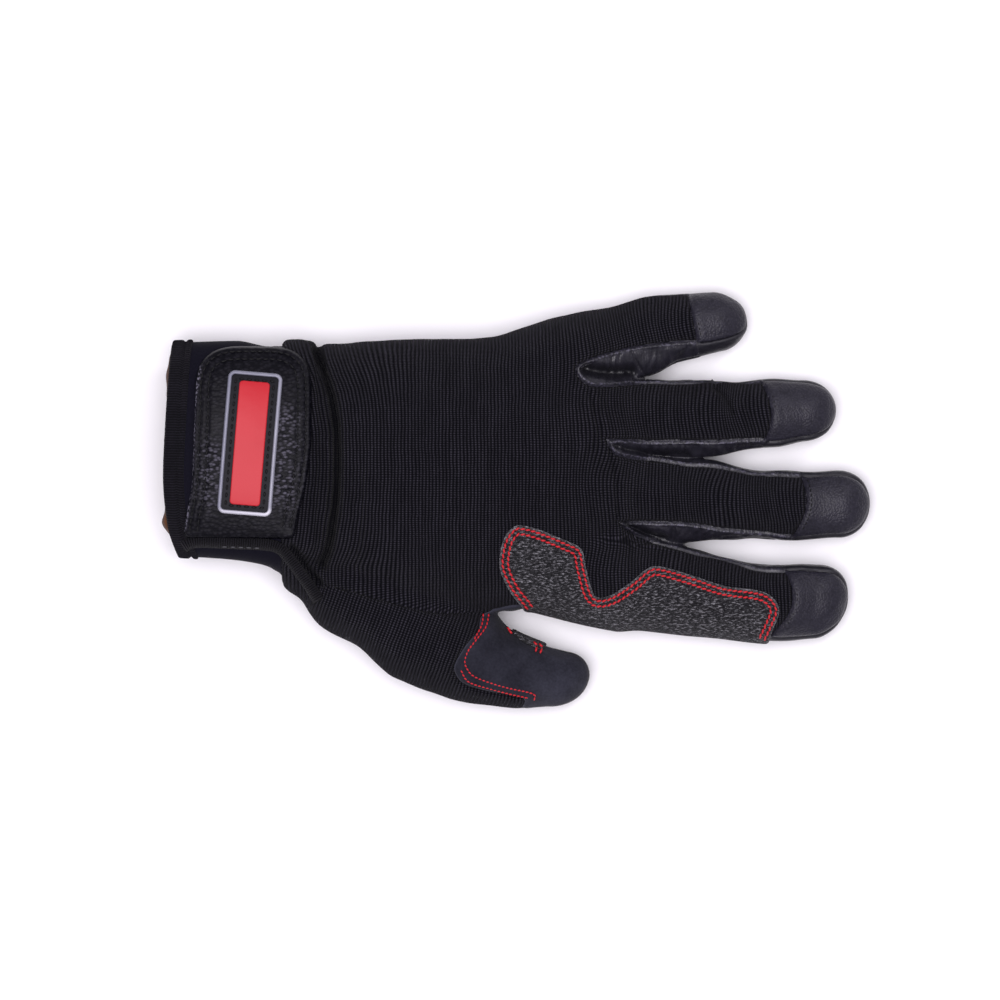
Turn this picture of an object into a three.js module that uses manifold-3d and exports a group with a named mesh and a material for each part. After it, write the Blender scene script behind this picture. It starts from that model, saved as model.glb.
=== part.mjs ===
// Climbing glove for the left hand, lying palm down with its fingers spread.
// Millimetres, +Z up. +X runs from the cuff's open edge to the fingertips, +Y towards the little finger.
// The origin is the middle of the footprint, on the surface that the palm rests on.
import * as THREE from 'three';
import { mergeVertices } from 'three/addons/utils/BufferGeometryUtils.js';
import Module from 'manifold-3d';

const wasm = await Module();
wasm.setup();

// Hand and cuff
const HAND_LENGTH = 157;      // cuff edge to the finger roots
const PALM_WIDTH = 96;        // across the back of the hand, without the thumb
const PALM_HEIGHT = 37;       // the filled hand, from the surface to the knuckles
const CUFF_LENGTH = 43;       // smooth fabric, from the open edge to the knit
const BINDING_WIDTH = 7.5;    // ribbed tape round the open edge
const LINING_DEPTH = 24;      // how far the suede lining runs in from the edge
const LINING_SHOWS = 0.8;     // how far it stands out of the edge

// Walls and fits
const WALL = 1.6;             // knit, leather and cuff fabric
const LINING_WALL = 1;
const GUARD_WALL = 1.1;       // guards that are sewn on top
const GAP = 0.3;              // clearance between neighbouring pieces
const FLATTEN = 0.9;          // how far the rest flattens the palm side
const SEAM_HEIGHT = 11;       // where the back's panels meet the palm leather
const GUARD_LOW = 7;          // the guards reach further down the side

// Wrist strap, its badge, and the tape on the slit's edge that covers the strap's foot
const STRAP_START = 10.7;     // from the cuff edge to the strap's near edge
const STRAP_WIDTH = 41;
const STRAP_THICKNESS = 2.2;
const STRAP_TOP = 46;         // its free end and its foot, from the hand's middle line
const STRAP_FOOT = -19.8;
const STRAP_CORNER = 13;
const BADGE_LENGTH = 50;
const BADGE_WIDTH = 19;
const BADGE_CORNER = 2.4;
const BADGE_THICKNESS = 0.9;
const BADGE_MIDDLE = 12;      // from the hand's middle line
const BADGE_BACK = 0.9;       // nearer the cuff's edge than the strap's middle
const BADGE_SLANT = 4.7;      // degrees from square to the arm
const RIM_WIDTH = 1.3;
const RIM_RISE = 0.6;         // above the badge's plate
const FIELD_LENGTH = 43;
const FIELD_WIDTH = 10.4;
const FIELD_THICKNESS = 0.5;
const TAPE_WIDTH = 4.6;
const TAPE_THICKNESS = 2.4;

// The hand's own sections, square to X. at is a share of HAND_LENGTH. little and thumb are its two edges, as
// shares of PALM_WIDTH from the middle line. height, and lift off the surface, are shares of PALM_HEIGHT.
// The knit swells at 0.315 and pinches at 0.355, where it gathers beside the strap.
const HAND_SECTIONS = table(['at', 'little', 'thumb', 'height', 'lift'], [
  [-0.04, 0.490, -0.275, 0.95, 0.070],
  [0.16, 0.500, -0.300, 0.97, 0.065],
  [0.24, 0.481, -0.330, 0.98, 0.045],
  [0.275, 0.496, -0.385, 0.98, 0.035],
  [0.315, 0.500, -0.430, 1.00, 0.015],
  [0.355, 0.462, -0.420, 0.94, 0.000],
  [0.395, 0.488, -0.440, 1.00, 0.000],
  [0.52, 0.506, -0.465, 1.04, 0.000],
  [0.68, 0.508, -0.490, 1.00, 0.000],
  [0.82, 0.548, -0.500, 0.96, 0.000],
  [0.92, 0.572, -0.515, 0.88, 0.000],
  [0.99, 0.530, -0.520, 0.74, 0.000],
  [1.03, 0.430, -0.450, 0.55, 0.000],
]);

// The cuff's open edge in the plan, as shares of HAND_LENGTH and PALM_WIDTH.
const CUFF_EDGE = [[0.022, 0.60], [0.012, 0.46], [0.003, 0.2], [0.0, 0.0], [0.014, -0.18], [0.05, -0.32]];

// Each digit's root is where its axis starts, as shares of HAND_LENGTH and PALM_WIDTH. splay is in degrees,
// positive towards the little side. Its sections hold shares of its length (at), width (shift, towards the
// little side, and width) and height. littleSeam and thumbSeam are the two edges of the knit on its back, as
// shares of its length and, from its axis, of its width. cap is where its fingertip leather starts.
const SECTION = ['at', 'shift', 'width', 'height'];
const SEAM = ['at', 'side'];
const FINGERS = [
  {
    name: 'little', root: [0.881, 0.453], splay: 10.2, length: 67, width: 27.3, height: 22, tipShift: 0.03,
    cap: 0.71,
    sections: table(SECTION, [
      [-0.5, -0.30, 0.30, 0.90], [-0.22, -0.02, 0.80, 1.25], [0.0, 0.01, 0.93, 1.30], [0.3, 0.0, 0.97, 1.08],
      [0.45, 0.022, 1.0, 1.0], [0.6, 0.06, 0.90, 0.95], [0.83, 0.04, 0.75, 0.86],
    ]),
    littleSeam: table(SEAM, [[0.6, 0.45], [0.83, 0.34], [0.92, 0.24], [0.965, 0.12]]),
    thumbSeam: table(SEAM, [
      [0.196, -0.11], [0.42, -0.075], [0.665, -0.115], [0.85, -0.17], [0.93, -0.12], [0.965, -0.02],
    ]),
  },
  {
    name: 'ring', root: [0.915, 0.208], splay: 2.6, length: 91.5, width: 26.3, height: 23.5, tipShift: 0.01,
    cap: 0.74,
    sections: table(SECTION, [
      [-0.2, 0.0, 0.90, 1.35], [0.0, 0.0, 0.95, 1.30], [0.27, 0.0, 0.99, 1.04], [0.42, -0.03, 1.02, 1.0],
      [0.54, -0.05, 0.98, 0.97], [0.62, -0.04, 0.91, 0.95], [0.77, -0.015, 0.88, 0.90], [0.87, 0.0, 0.82, 0.84],
    ]),
    littleSeam: table(SEAM, [
      [0.065, 0.45], [0.25, 0.46], [0.45, 0.44], [0.65, 0.38], [0.85, 0.33], [0.93, 0.23], [0.97, 0.08],
    ]),
    thumbSeam: table(SEAM, [
      [0.12, -0.26], [0.31, -0.31], [0.53, -0.345], [0.74, -0.34], [0.86, -0.3], [0.93, -0.21], [0.97, -0.05],
    ]),
  },
  {
    name: 'middle', root: [0.948, -0.062], splay: -1.6, length: 98.5, width: 28.6, height: 24, tipShift: -0.02,
    cap: 0.755,
    sections: table(SECTION, [
      [-0.2, 0.0, 0.85, 1.30], [0.0, 0.0, 0.95, 1.28], [0.2, 0.0, 1.0, 1.05], [0.34, -0.03, 1.01, 1.0],
      [0.45, -0.02, 0.97, 0.97], [0.6, -0.055, 0.82, 0.94], [0.73, -0.07, 0.84, 0.90], [0.885, -0.03, 0.80, 0.82],
    ]),
    littleSeam: table(SEAM, [
      [0.064, 0.47], [0.25, 0.46], [0.45, 0.40], [0.63, 0.3], [0.87, 0.32], [0.95, 0.22], [0.98, 0.06],
    ]),
    thumbSeam: table(SEAM, [
      [0.11, -0.33], [0.32, -0.31], [0.56, -0.4], [0.74, -0.42], [0.87, -0.4], [0.95, -0.28], [0.98, -0.1],
    ]),
  },
  {
    name: 'index', root: [0.971, -0.390], splay: -4.2, length: 87, width: 29.4, height: 24, tipShift: 0.03,
    cap: 0.755,
    sections: table(SECTION, [
      [-0.45, 0.30, 0.40, 0.95], [-0.2, 0.07, 0.90, 1.26], [0.0, 0.05, 1.02, 1.24], [0.18, 0.045, 1.04, 1.06],
      [0.34, 0.0, 0.99, 1.0], [0.5, -0.035, 0.92, 0.97], [0.67, -0.065, 0.90, 0.94], [0.79, -0.03, 0.90, 0.90],
      [0.87, -0.01, 0.88, 0.84],
    ]),
    littleSeam: table(SEAM, [
      [0.14, 0.56], [0.3, 0.47], [0.46, 0.41], [0.67, 0.3], [0.85, 0.34], [0.93, 0.28], [0.97, 0.12],
    ]),
    thumbSeam: table(SEAM, [[0.7, -0.47], [0.86, -0.4], [0.93, -0.3], [0.97, -0.12]]),
  },
];

const THUMB = {
  name: 'thumb', root: [0.301, -0.354], splay: -19.8, length: 107.5, width: 35, height: 29, tipShift: -0.05,
  sections: table(SECTION, [
    [-0.03, 0.12, 0.30, 0.90], [0.12, -0.02, 0.78, 1.08], [0.25, -0.05, 0.88, 1.13], [0.4, -0.14, 1.0, 1.12],
    [0.52, -0.17, 1.0, 1.06], [0.62, -0.17, 0.96, 0.98], [0.71, -0.17, 0.87, 0.90], [0.81, -0.165, 0.72, 0.82],
    [0.905, -0.12, 0.58, 0.72],
  ]),
};

// Where the knit of two neighbouring fingers parts, as shares of HAND_LENGTH and PALM_WIDTH.
const CROTCHES = [[0.916, 0.401], [0.985, 0.135], [1.014, -0.168]];

// The seam between the back and the thumb's knit, as shares of HAND_LENGTH and PALM_WIDTH.
const THUMB_SEAM = [[0.36, -0.39], [0.485, -0.443], [0.592, -0.485], [0.717, -0.487]];
const THUMB_CLEAR = [[0.73, -0.6], [1.2, -1.3], [0.2, -1.3], [0.25, -0.6]];   // round the thumb, clear of it

// The middle of the slit's tape, as shares of HAND_LENGTH and PALM_WIDTH. It ends in the gathers.
const TAPE_LINE = [[0.065, -0.235], [0.16, -0.235], [0.27, -0.245], [0.315, -0.30], [0.345, -0.38]];

// The strap's two edges, as shares of its length from its foot, and of its width from its near edge.
const STRAP_EDGES = table(['up', 'near', 'far'], [
  [0.0, -0.095, 0.85], [0.12, -0.066, 0.89], [0.3, -0.013, 0.96], [0.54, 0.0, 1.0], [0.72, 0.012, 1.0],
]);

// Outlines of the sewn-on pieces, as shares of the digit's length and, from its axis, of its width. Points past
// the digit's side only reach clear of it.
const GUARD_OUTLINE = [
  [-0.31, -0.33], [-0.362, -0.16], [-0.408, 0.09], [-0.413, 0.30], [-0.399, 0.49], [-0.366, 0.618],
  [-0.331, 0.64], [-0.265, 0.607], [-0.156, 0.503], [-0.088, 0.41], [-0.064, 0.19], [-0.03, -0.088],
  [-0.003, -0.146], [0.048, -0.097], [0.123, 0.075], [0.172, 0.216], [0.223, 0.278], [0.355, 0.204],
  [0.489, 0.103], [0.62, 0.08], [0.675, 0.039], [0.712, -0.056], [0.724, -0.183], [0.703, -0.394],
  [0.681, -0.8], [-0.024, -0.757], [-0.148, -0.64], [-0.272, -0.5],
];
const SUEDE_OUTLINE = [
  [0.71, 0.445], [0.66, 0.37], [0.604, 0.25], [0.609, 0.095], [0.587, -0.088], [0.574, -0.32], [0.595, -0.43],
  [0.632, -0.477], [0.698, -0.465], [0.774, -0.43], [0.831, -0.44], [0.85, -0.9], [1.3, -0.9], [1.3, 0.3],
  [0.78, 0.5],
];
const CROTCH_GUARD_OUTLINE = [
  [0.7, 0.237], [0.718, 0.177], [0.747, 0.124], [0.79, 0.108], [0.818, 0.107], [0.818, 0.32], [0.7, 0.32],
];

const SIDES = { hand: 28, digit: 14 };              // points round a section
const SECTION_POWER = { hand: 2.5, digit: 2.15 };   // 2 is an ellipse, more is squarer
const TIP_STEPS = [28, 52, 74];                     // degrees round a fingertip, one ring each
const HAND_END = 0.9;                               // share of HAND_LENGTH where the hand starts to close
const TIP_CLEAR = { end: 1.15, side: 0.6 };         // shares that clear a fingertip, but not its neighbour
const CORNER_STEPS = 4;
const DETAIL = 0.04;                                // finer steps than this are smoothed away
const REACH = 400;                                  // longer than the glove, for cutting
const MITRE_LIMIT = 2.5;                            // how far a grown outline's corner may reach, in growths

const COLOURS = {
  knit: 0x1b1b1f, leather: 0x17171b, cap: 0x1f2026, suede: 0x22242b, guard: 0x3c3e42, cuff: 0x1e1e2a,
  tape: 0x18181c, lining: 0x6b3f22, strap: 0x16161a, plate: 0x202026, rim: 0x9b9dab, field: 0xd92f3a,
};

function table(columns, rows) {
  return rows.map((row) => Object.fromEntries(columns.map((name, i) => [name, row[i]])));
}

// Places in the plan

const onHand = ([at, side]) => new THREE.Vector2(at * HAND_LENGTH, side * PALM_WIDTH);

function onDigit(digit, at, side) {
  const along = new THREE.Vector2(1, 0).rotateAround(new THREE.Vector2(), THREE.MathUtils.degToRad(digit.splay));
  const across = new THREE.Vector2(-along.y, along.x);
  return onHand(digit.root).addScaledVector(along, at * digit.length).addScaledVector(across, side * digit.width);
}

const outlineOnDigit = (digit, outline) => outline.map(([at, side]) => onDigit(digit, at, side));

// A corner of the outline from a to b, rounded as one curve.
function roundCorner(a, corner, b) {
  return new THREE.QuadraticBezierCurve(a, corner, b).getPoints(CORNER_STEPS);
}

// A rectangle with round corners, centred on a point. Its length runs along Y before it is turned.
function roundedRectangle(centre, width, length, corner, degrees) {
  const [x, y] = [width / 2, length / 2];
  const at = (px, py) => new THREE.Vector2(px, py);
  const points = [
    ...roundCorner(at(x - corner, -y), at(x, -y), at(x, corner - y)),
    ...roundCorner(at(x, y - corner), at(x, y), at(x - corner, y)),
    ...roundCorner(at(corner - x, y), at(-x, y), at(-x, y - corner)),
    ...roundCorner(at(-x, corner - y), at(-x, -y), at(corner - x, -y)),
  ];
  return points.map((p) => p.rotateAround(at(0, 0), -THREE.MathUtils.degToRad(degrees)).add(centre));
}

// A band of even width along a line.
function band(line, width) {
  const there = line.map((p, i) => {
    const along = line[Math.min(i + 1, line.length - 1)].clone().sub(line[Math.max(i - 1, 0)]).normalize();
    return p.clone().add(new THREE.Vector2(-along.y, along.x).multiplyScalar(width / 2));
  });
  const back = line.map((p, i) => p.clone().multiplyScalar(2).sub(there[i])).reverse();
  return [...there, ...back];
}

// Solids

function solidOf(geometry) {
  const bare = geometry.clone();
  bare.deleteAttribute('normal');
  bare.deleteAttribute('uv');
  const merged = mergeVertices(bare, 1e-3);
  return new wasm.Manifold(new wasm.Mesh({
    numProp: 3,
    vertProperties: Float32Array.from(merged.attributes.position.array),
    triVerts: Uint32Array.from(merged.index.array),
  }));
}

function geometryOf(solid) {
  const mesh = solid.getMesh();
  const geometry = new THREE.BufferGeometry();
  geometry.setAttribute('position', new THREE.BufferAttribute(mesh.vertProperties, 3));
  geometry.setIndex(new THREE.BufferAttribute(mesh.triVerts, 1));
  return geometry;
}

// A closed outline in the plan, grown by a distance and carried up between two heights.
function prism(outline, { grown = 0, from = -REACH, to = REACH } = {}) {
  const flat = new wasm.CrossSection([outline.map((p) => [p.x, p.y])], 'NonZero');
  return flat.offset(grown, 'Miter', MITRE_LIMIT).extrude(to - from).translate(0, 0, from);
}

function slab(x0, x1, z0, z1) {
  const box = new THREE.BoxGeometry(x1 - x0, 2 * REACH, z1 - z0);
  box.translate((x0 + x1) / 2, 0, (z0 + z1) / 2);
  return solidOf(box);
}

const above = (z) => slab(-REACH, REACH, z, REACH);
const below = (z) => slab(-REACH, REACH, -REACH, z);

// A closed body through rings that all have the same number of points, with a flat end at each.
function loft(rings) {
  const sides = rings[0].length;
  const index = [];
  for (let r = 0; r + 1 < rings.length; r++) {
    for (let i = 0; i < sides; i++) {
      const a = r * sides + i;
      const b = r * sides + (i + 1) % sides;
      index.push(a, b, b + sides, a, b + sides, a + sides);
    }
  }
  const last = (rings.length - 1) * sides;
  for (let i = 1; i + 1 < sides; i++) {
    index.push(0, i + 1, i, last, last + i, last + i + 1);
  }
  const geometry = new THREE.BufferGeometry().setFromPoints(rings.flat());
  geometry.setIndex(index);
  return solidOf(geometry);
}

// Points round a squared ellipse. The first is its side towards the little finger.
function sectionPoints(halfWidth, halfHeight, power, sides) {
  const bend = (value) => Math.sign(value) * Math.abs(value) ** (2 / power);
  return Array.from({ length: sides }, (_, i) => {
    const angle = 2 * Math.PI * i / sides;
    return [halfWidth * bend(Math.cos(angle)), halfHeight * bend(Math.sin(angle))];
  });
}

// The filled glove's surface, moved out by an offset. Each section dips FLATTEN below the surface that it lies on,
// and is cut flat there.

function handBody(offset) {
  const rings = HAND_SECTIONS.map((row) => {
    const x = HAND_LENGTH * row.at + offset * THREE.MathUtils.smoothstep(row.at, HAND_END, 1);
    const middle = PALM_WIDTH * (row.little + row.thumb) / 2;
    const halfWidth = PALM_WIDTH * (row.little - row.thumb) / 2;
    const halfHeight = PALM_HEIGHT * row.height / 2;
    const centre = PALM_HEIGHT * row.lift + halfHeight - FLATTEN;
    return sectionPoints(halfWidth + offset, halfHeight + offset, SECTION_POWER.hand, SIDES.hand)
      .map(([across, up]) => new THREE.Vector3(x, middle + across, centre + up));
  });
  return loft(rings);
}

function digitBody(digit, offset) {
  const ring = (at, shift, halfWidth, halfHeight, centre) =>
    sectionPoints(halfWidth, halfHeight, SECTION_POWER.digit, SIDES.digit).map(([across, up]) => {
      const plan = onDigit(digit, at, shift + across / digit.width);
      return new THREE.Vector3(plan.x, plan.y, centre + up);
    });
  const rings = digit.sections.map((row) => {
    const halfHeight = digit.height * row.height / 2;
    return ring(row.at, row.shift, digit.width * row.width / 2 + offset, halfHeight + offset, halfHeight - FLATTEN);
  });
  const end = digit.sections.at(-1);
  const halfHeight = digit.height * end.height / 2;
  for (const degrees of TIP_STEPS) {
    const angle = THREE.MathUtils.degToRad(degrees);
    const at = end.at + (1 - end.at + offset / digit.length) * Math.sin(angle);
    const shift = THREE.MathUtils.lerp(end.shift, digit.tipShift, Math.sin(angle));
    const narrow = Math.cos(angle);
    rings.push(ring(at, shift, (digit.width * end.width / 2 + offset) * narrow, (halfHeight + offset) * narrow,
      halfHeight - FLATTEN));
  }
  return loft(rings);
}

function glove(offset, digits = [...FINGERS, THUMB]) {
  return digits.reduce((all, digit) => all.add(digitBody(digit, offset)), handBody(offset)).intersect(above(-offset));
}

// A sheet over the glove, from one offset of its surface to another.
const layer = (inner, outer) => glove(outer).subtract(glove(inner));

// Pieces

const group = new THREE.Group();

// Adds the solid's main body as a piece. What a cut leaves loose beside it is too thin to make.
function add(name, solid, color, roughness) {
  const welded = solidOf(geometryOf(solid.simplify(DETAIL)));
  const [body] = welded.decompose().sort((a, b) => b.volume() - a.volume());
  const geometry = geometryOf(body);
  geometry.computeVertexNormals();
  const piece = new THREE.Mesh(geometry, new THREE.MeshStandardMaterial({ color, roughness, metalness: 0 }));
  piece.name = name;
  group.add(piece);
}

const wall = layer(-WALL, 0);

// The cuff: binding, fabric and lining lie between the open edge and the knit.
// Everything further in than a distance from the edge.
function pastEdge(distance) {
  const edge = CUFF_EDGE.map(onHand).map((p) => p.add(new THREE.Vector2(distance, 0)));
  return prism([...edge, new THREE.Vector2(REACH, edge.at(-1).y - REACH), new THREE.Vector2(REACH, REACH)]);
}
const edgeStrip = (from, to) => pastEdge(from).subtract(pastEdge(to));
const beforeKnit = slab(-REACH, CUFF_LENGTH - GAP, -REACH, REACH);

add('cuff_binding', wall.intersect(edgeStrip(0, BINDING_WIDTH)), COLOURS.tape, 0.9);
add('cuff_fabric', wall.intersect(pastEdge(BINDING_WIDTH + GAP)).intersect(beforeKnit), COLOURS.cuff, 0.7);
const liningInside = layer(-WALL - GAP - LINING_WALL, -WALL - GAP);
add('cuff_lining', liningInside.intersect(edgeStrip(-LINING_SHOWS, LINING_DEPTH)), COLOURS.lining, 0.95);

// The hand: palm leather below, and above it the panels of the back, each cut from what the last one left.
const hand = wall.intersect(slab(CUFF_LENGTH, REACH, -REACH, REACH));
let palm = hand.intersect(below(SEAM_HEIGHT - GAP));
let back = hand.intersect(above(SEAM_HEIGHT));

function cutPanel(name, outline, color, roughness) {
  add(name, back.intersect(prism(outline)), color, roughness);
  back = back.subtract(prism(outline, { grown: GAP }));
}

// Where a seam lies across its finger, at a share of its length.
function seamSide(seam, at) {
  const next = Math.max(1, seam.findIndex((row) => row.at >= at));
  const [a, b] = [seam[next - 1], seam[next]];
  return THREE.MathUtils.mapLinear(at, a.at, b.at, a.side, b.side);
}

// The part of a seam on one side of the cap's edge, ending on that edge.
function seamToCap(finger, seam, beyondCap) {
  const rows = seam.filter((row) => (row.at > finger.cap) === beyondCap);
  const points = rows.map((row) => onDigit(finger, row.at, row.side));
  const end = onDigit(finger, finger.cap, seamSide(seam, finger.cap));
  return beyondCap ? [end, ...points] : [...points, end];
}

for (const finger of FINGERS) {
  const cap = [
    ...seamToCap(finger, finger.thumbSeam, true),
    ...seamToCap(finger, finger.littleSeam, true).reverse(),
  ];
  add(`cap_${finger.name}`, back.intersect(prism(cap)), COLOURS.cap, 0.6);
  const { end, side } = TIP_CLEAR;
  const tip = outlineOnDigit(finger, [[finger.cap, -side], [end, -side], [end, side], [finger.cap, side]]);
  palm = palm.add(hand.intersect(prism(tip)).subtract(prism(cap, { grown: GAP, from: SEAM_HEIGHT - GAP })));
  back = back.subtract(prism(tip, { grown: GAP }));
}
add('palm_leather', palm, COLOURS.leather, 0.6);

cutPanel('thumb_suede', outlineOnDigit(THUMB, SUEDE_OUTLINE), COLOURS.suede, 0.95);
cutPanel('thumb_knit', [
  ...THUMB_SEAM.map(onHand), ...THUMB_CLEAR.map(onHand),
], COLOURS.knit, 0.95);

for (const [i, crotch] of CROTCHES.entries()) {
  const [upper, lower] = [FINGERS[i], FINGERS[i + 1]];
  cutPanel(`fourchette_${upper.name}_${lower.name}`, [
    onHand(crotch),
    ...seamToCap(lower, lower.littleSeam, false),
    onDigit(lower, lower.cap, TIP_CLEAR.side),
    onDigit(upper, upper.cap, -TIP_CLEAR.side),
    ...seamToCap(upper, upper.thumbSeam, false).reverse(),
  ], COLOURS.leather, 0.55);
}
add('back_knit', back, COLOURS.knit, 0.95);

// Sewn on top: the guards of the index finger and of the thumb's crotch, which doesn't reach the other's side.
function addGuard(name, digit, neighbours, outline) {
  const sheet = glove(GAP + GUARD_WALL, neighbours).subtract(glove(GAP)).intersect(above(GUARD_LOW));
  add(name, sheet.intersect(prism(outlineOnDigit(digit, outline))), COLOURS.guard, 0.9);
}
addGuard('guard_index', FINGERS.at(-1), FINGERS, GUARD_OUTLINE);
addGuard('guard_crotch', THUMB, [THUMB], CROTCH_GUARD_OUTLINE);

// The strap, its badge, and the slit's tape.
function strapOutline() {
  const at = (up, side) => new THREE.Vector2(STRAP_START + side * STRAP_WIDTH,
    THREE.MathUtils.lerp(STRAP_FOOT, STRAP_TOP, up));
  const top = STRAP_EDGES.at(-1);
  const [near, far] = [at(1, top.near), at(1, top.far)];
  const moved = (p, x, y) => p.clone().add(new THREE.Vector2(x, y));
  return [
    ...STRAP_EDGES.map((row) => at(row.up, row.far)),
    ...roundCorner(moved(far, 0, -STRAP_CORNER), far, moved(far, -STRAP_CORNER, 0)),
    ...roundCorner(moved(near, STRAP_CORNER, 0), near, moved(near, 0, -STRAP_CORNER)),
    ...STRAP_EDGES.map((row) => at(row.up, row.near)).reverse(),
  ];
}
// What lies over the glove's back, between two offsets of it, inside a plan shape.
const onTop = (inner, outer, shape) => layer(inner, outer).intersect(shape).intersect(above(SEAM_HEIGHT + GAP));

const strapBack = GAP + STRAP_THICKNESS;
add('wrist_strap', onTop(GAP, strapBack, prism(strapOutline())), COLOURS.strap, 0.5);

const plateBack = strapBack + GAP + BADGE_THICKNESS;
const badgeCentre = new THREE.Vector2(STRAP_START + STRAP_WIDTH / 2 - BADGE_BACK, BADGE_MIDDLE);
const badge = (width, length) => roundedRectangle(badgeCentre, width, length, BADGE_CORNER, BADGE_SLANT);
const plate = badge(BADGE_WIDTH - 2 * RIM_WIDTH - 2 * GAP, BADGE_LENGTH - 2 * RIM_WIDTH - 2 * GAP);
add('badge_plate', onTop(strapBack + GAP, plateBack, prism(plate)), COLOURS.plate, 0.45);
const rim = prism(badge(BADGE_WIDTH, BADGE_LENGTH)).subtract(prism(plate, { grown: GAP }));
add('badge_rim', onTop(strapBack + GAP, plateBack + RIM_RISE, rim), COLOURS.rim, 0.3);
const field = roundedRectangle(badgeCentre, FIELD_WIDTH, FIELD_LENGTH, BADGE_CORNER / 2, BADGE_SLANT);
add('badge_field', onTop(plateBack + GAP, plateBack + GAP + FIELD_THICKNESS, prism(field)), COLOURS.field, 0.35);

const tapeBand = prism(band(TAPE_LINE.map(onHand), TAPE_WIDTH));
add('slit_tape', onTop(GAP, GAP + TAPE_THICKNESS, tapeBand), COLOURS.tape, 0.9);

const footprint = new THREE.Box3().setFromObject(group);
const middle = footprint.getCenter(new THREE.Vector3());
group.position.set(-middle.x, -middle.y, -footprint.min.z);

export default group;
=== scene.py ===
import math

import bmesh
import bpy
import numpy as np
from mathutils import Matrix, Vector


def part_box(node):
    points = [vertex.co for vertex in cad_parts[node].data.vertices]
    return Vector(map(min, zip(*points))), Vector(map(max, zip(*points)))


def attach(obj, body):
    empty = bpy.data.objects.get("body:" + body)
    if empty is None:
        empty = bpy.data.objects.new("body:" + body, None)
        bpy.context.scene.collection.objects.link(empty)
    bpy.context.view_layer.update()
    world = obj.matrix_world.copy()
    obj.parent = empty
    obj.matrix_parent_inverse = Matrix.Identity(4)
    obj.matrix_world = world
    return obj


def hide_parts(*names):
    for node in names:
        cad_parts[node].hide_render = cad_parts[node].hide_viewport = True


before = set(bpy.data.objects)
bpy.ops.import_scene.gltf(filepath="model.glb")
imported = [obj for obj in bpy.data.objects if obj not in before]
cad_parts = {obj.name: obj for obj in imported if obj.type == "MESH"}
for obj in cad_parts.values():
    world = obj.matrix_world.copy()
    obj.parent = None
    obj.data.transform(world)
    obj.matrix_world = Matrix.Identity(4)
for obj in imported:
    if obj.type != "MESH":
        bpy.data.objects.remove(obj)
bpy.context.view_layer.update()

# The filled glove. The real one is cut from flat panels and takes the shape of the hand that wore it,
# so one form is worked out here, a palm and five digits that melt into it, and every panel, guard and
# strap is laid on that form. Lengths are millimetres from the cuff's open edge (x), the hand's middle
# line (y) and the table (z).
MM = 0.001
STRAP_TOP = 46
CORNER = np.array([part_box("cuff_binding")[0].x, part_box("wrist_strap")[1].y - STRAP_TOP * MM, 0])

HAND_LENGTH = 157
PALM_WIDTH = 96
PALM_HEIGHT = 37
FLATTEN = 0.9
WALL = 1.6
SEAM_HEIGHT = 11
HAND_SQUARENESS = 2.5
DIGIT_SQUARENESS = 2.15
WEB = 7
THUMB_WEB = 4
CREASE = 2.5

# Columns: share of the length; the little side's edge, the thumb side's edge, as shares of the width
# from the middle line; height, and lift off the table, as shares of the height.
HAND_SECTIONS = np.array([
    [-0.04, 0.490, -0.275, 0.95, 0.070],
    [0.16, 0.500, -0.300, 0.97, 0.065],
    [0.235, 0.479, -0.322, 0.98, 0.045],
    [0.253, 0.479, -0.334, 0.98, 0.040],
    [0.266, 0.492, -0.385, 0.98, 0.034],
    [0.300, 0.503, -0.430, 0.99, 0.020],
    [0.322, 0.490, -0.435, 0.98, 0.010],
    [0.337, 0.472, -0.438, 0.97, 0.000],
    [0.360, 0.488, -0.442, 0.98, 0.000],
    [0.395, 0.490, -0.446, 1.00, 0.000],
    [0.52, 0.506, -0.465, 1.04, 0.000],
    [0.68, 0.508, -0.480, 1.00, 0.000],
    [0.77, 0.524, -0.486, 0.975, 0.000],
    [0.82, 0.532, -0.470, 0.96, 0.000],
    [0.92, 0.558, -0.496, 0.88, 0.000],
    [0.99, 0.530, -0.520, 0.74, 0.000],
])
HAND_CLOSES = 0.06

# A digit's root is on the hand, in shares of its length and width. splay is in degrees. The sections'
# columns are shares of the digit's length, width (shift towards the little side, and width) and height.
# The two seams edge the panel on its back: share of its length, and of its width from its axis. cap is
# where the fingertip leather starts, and cap_low is how low it comes on the little side, at the tip and
# on the thumb side, in shares of half the height.
LITTLE = {
    "root": (0.881, 0.453), "splay": 10.2, "length": 67, "width": 27.3, "height": 22, "tip_shift": 0.03,
    "sections": [[-0.5, -0.30, 0.30, 0.90], [-0.22, -0.07, 0.75, 1.25], [0.0, -0.01, 0.91, 1.30],
                 [0.3, 0.0, 0.97, 1.08], [0.45, 0.03, 0.99, 1.0], [0.6, 0.075, 0.88, 0.95],
                 [0.83, 0.05, 0.76, 0.86]],
    "little_seam": [[-0.1, 0.6], [0.3, 0.62], [0.6, 0.50], [0.83, 0.36]],
    "thumb_seam": [[0.196, -0.11], [0.42, -0.075], [0.665, -0.13], [0.85, -0.22]],
    "cap": 0.715, "cap_bow": 0.0, "cap_low": (0.0, 0.1, 2.0),
}
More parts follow.
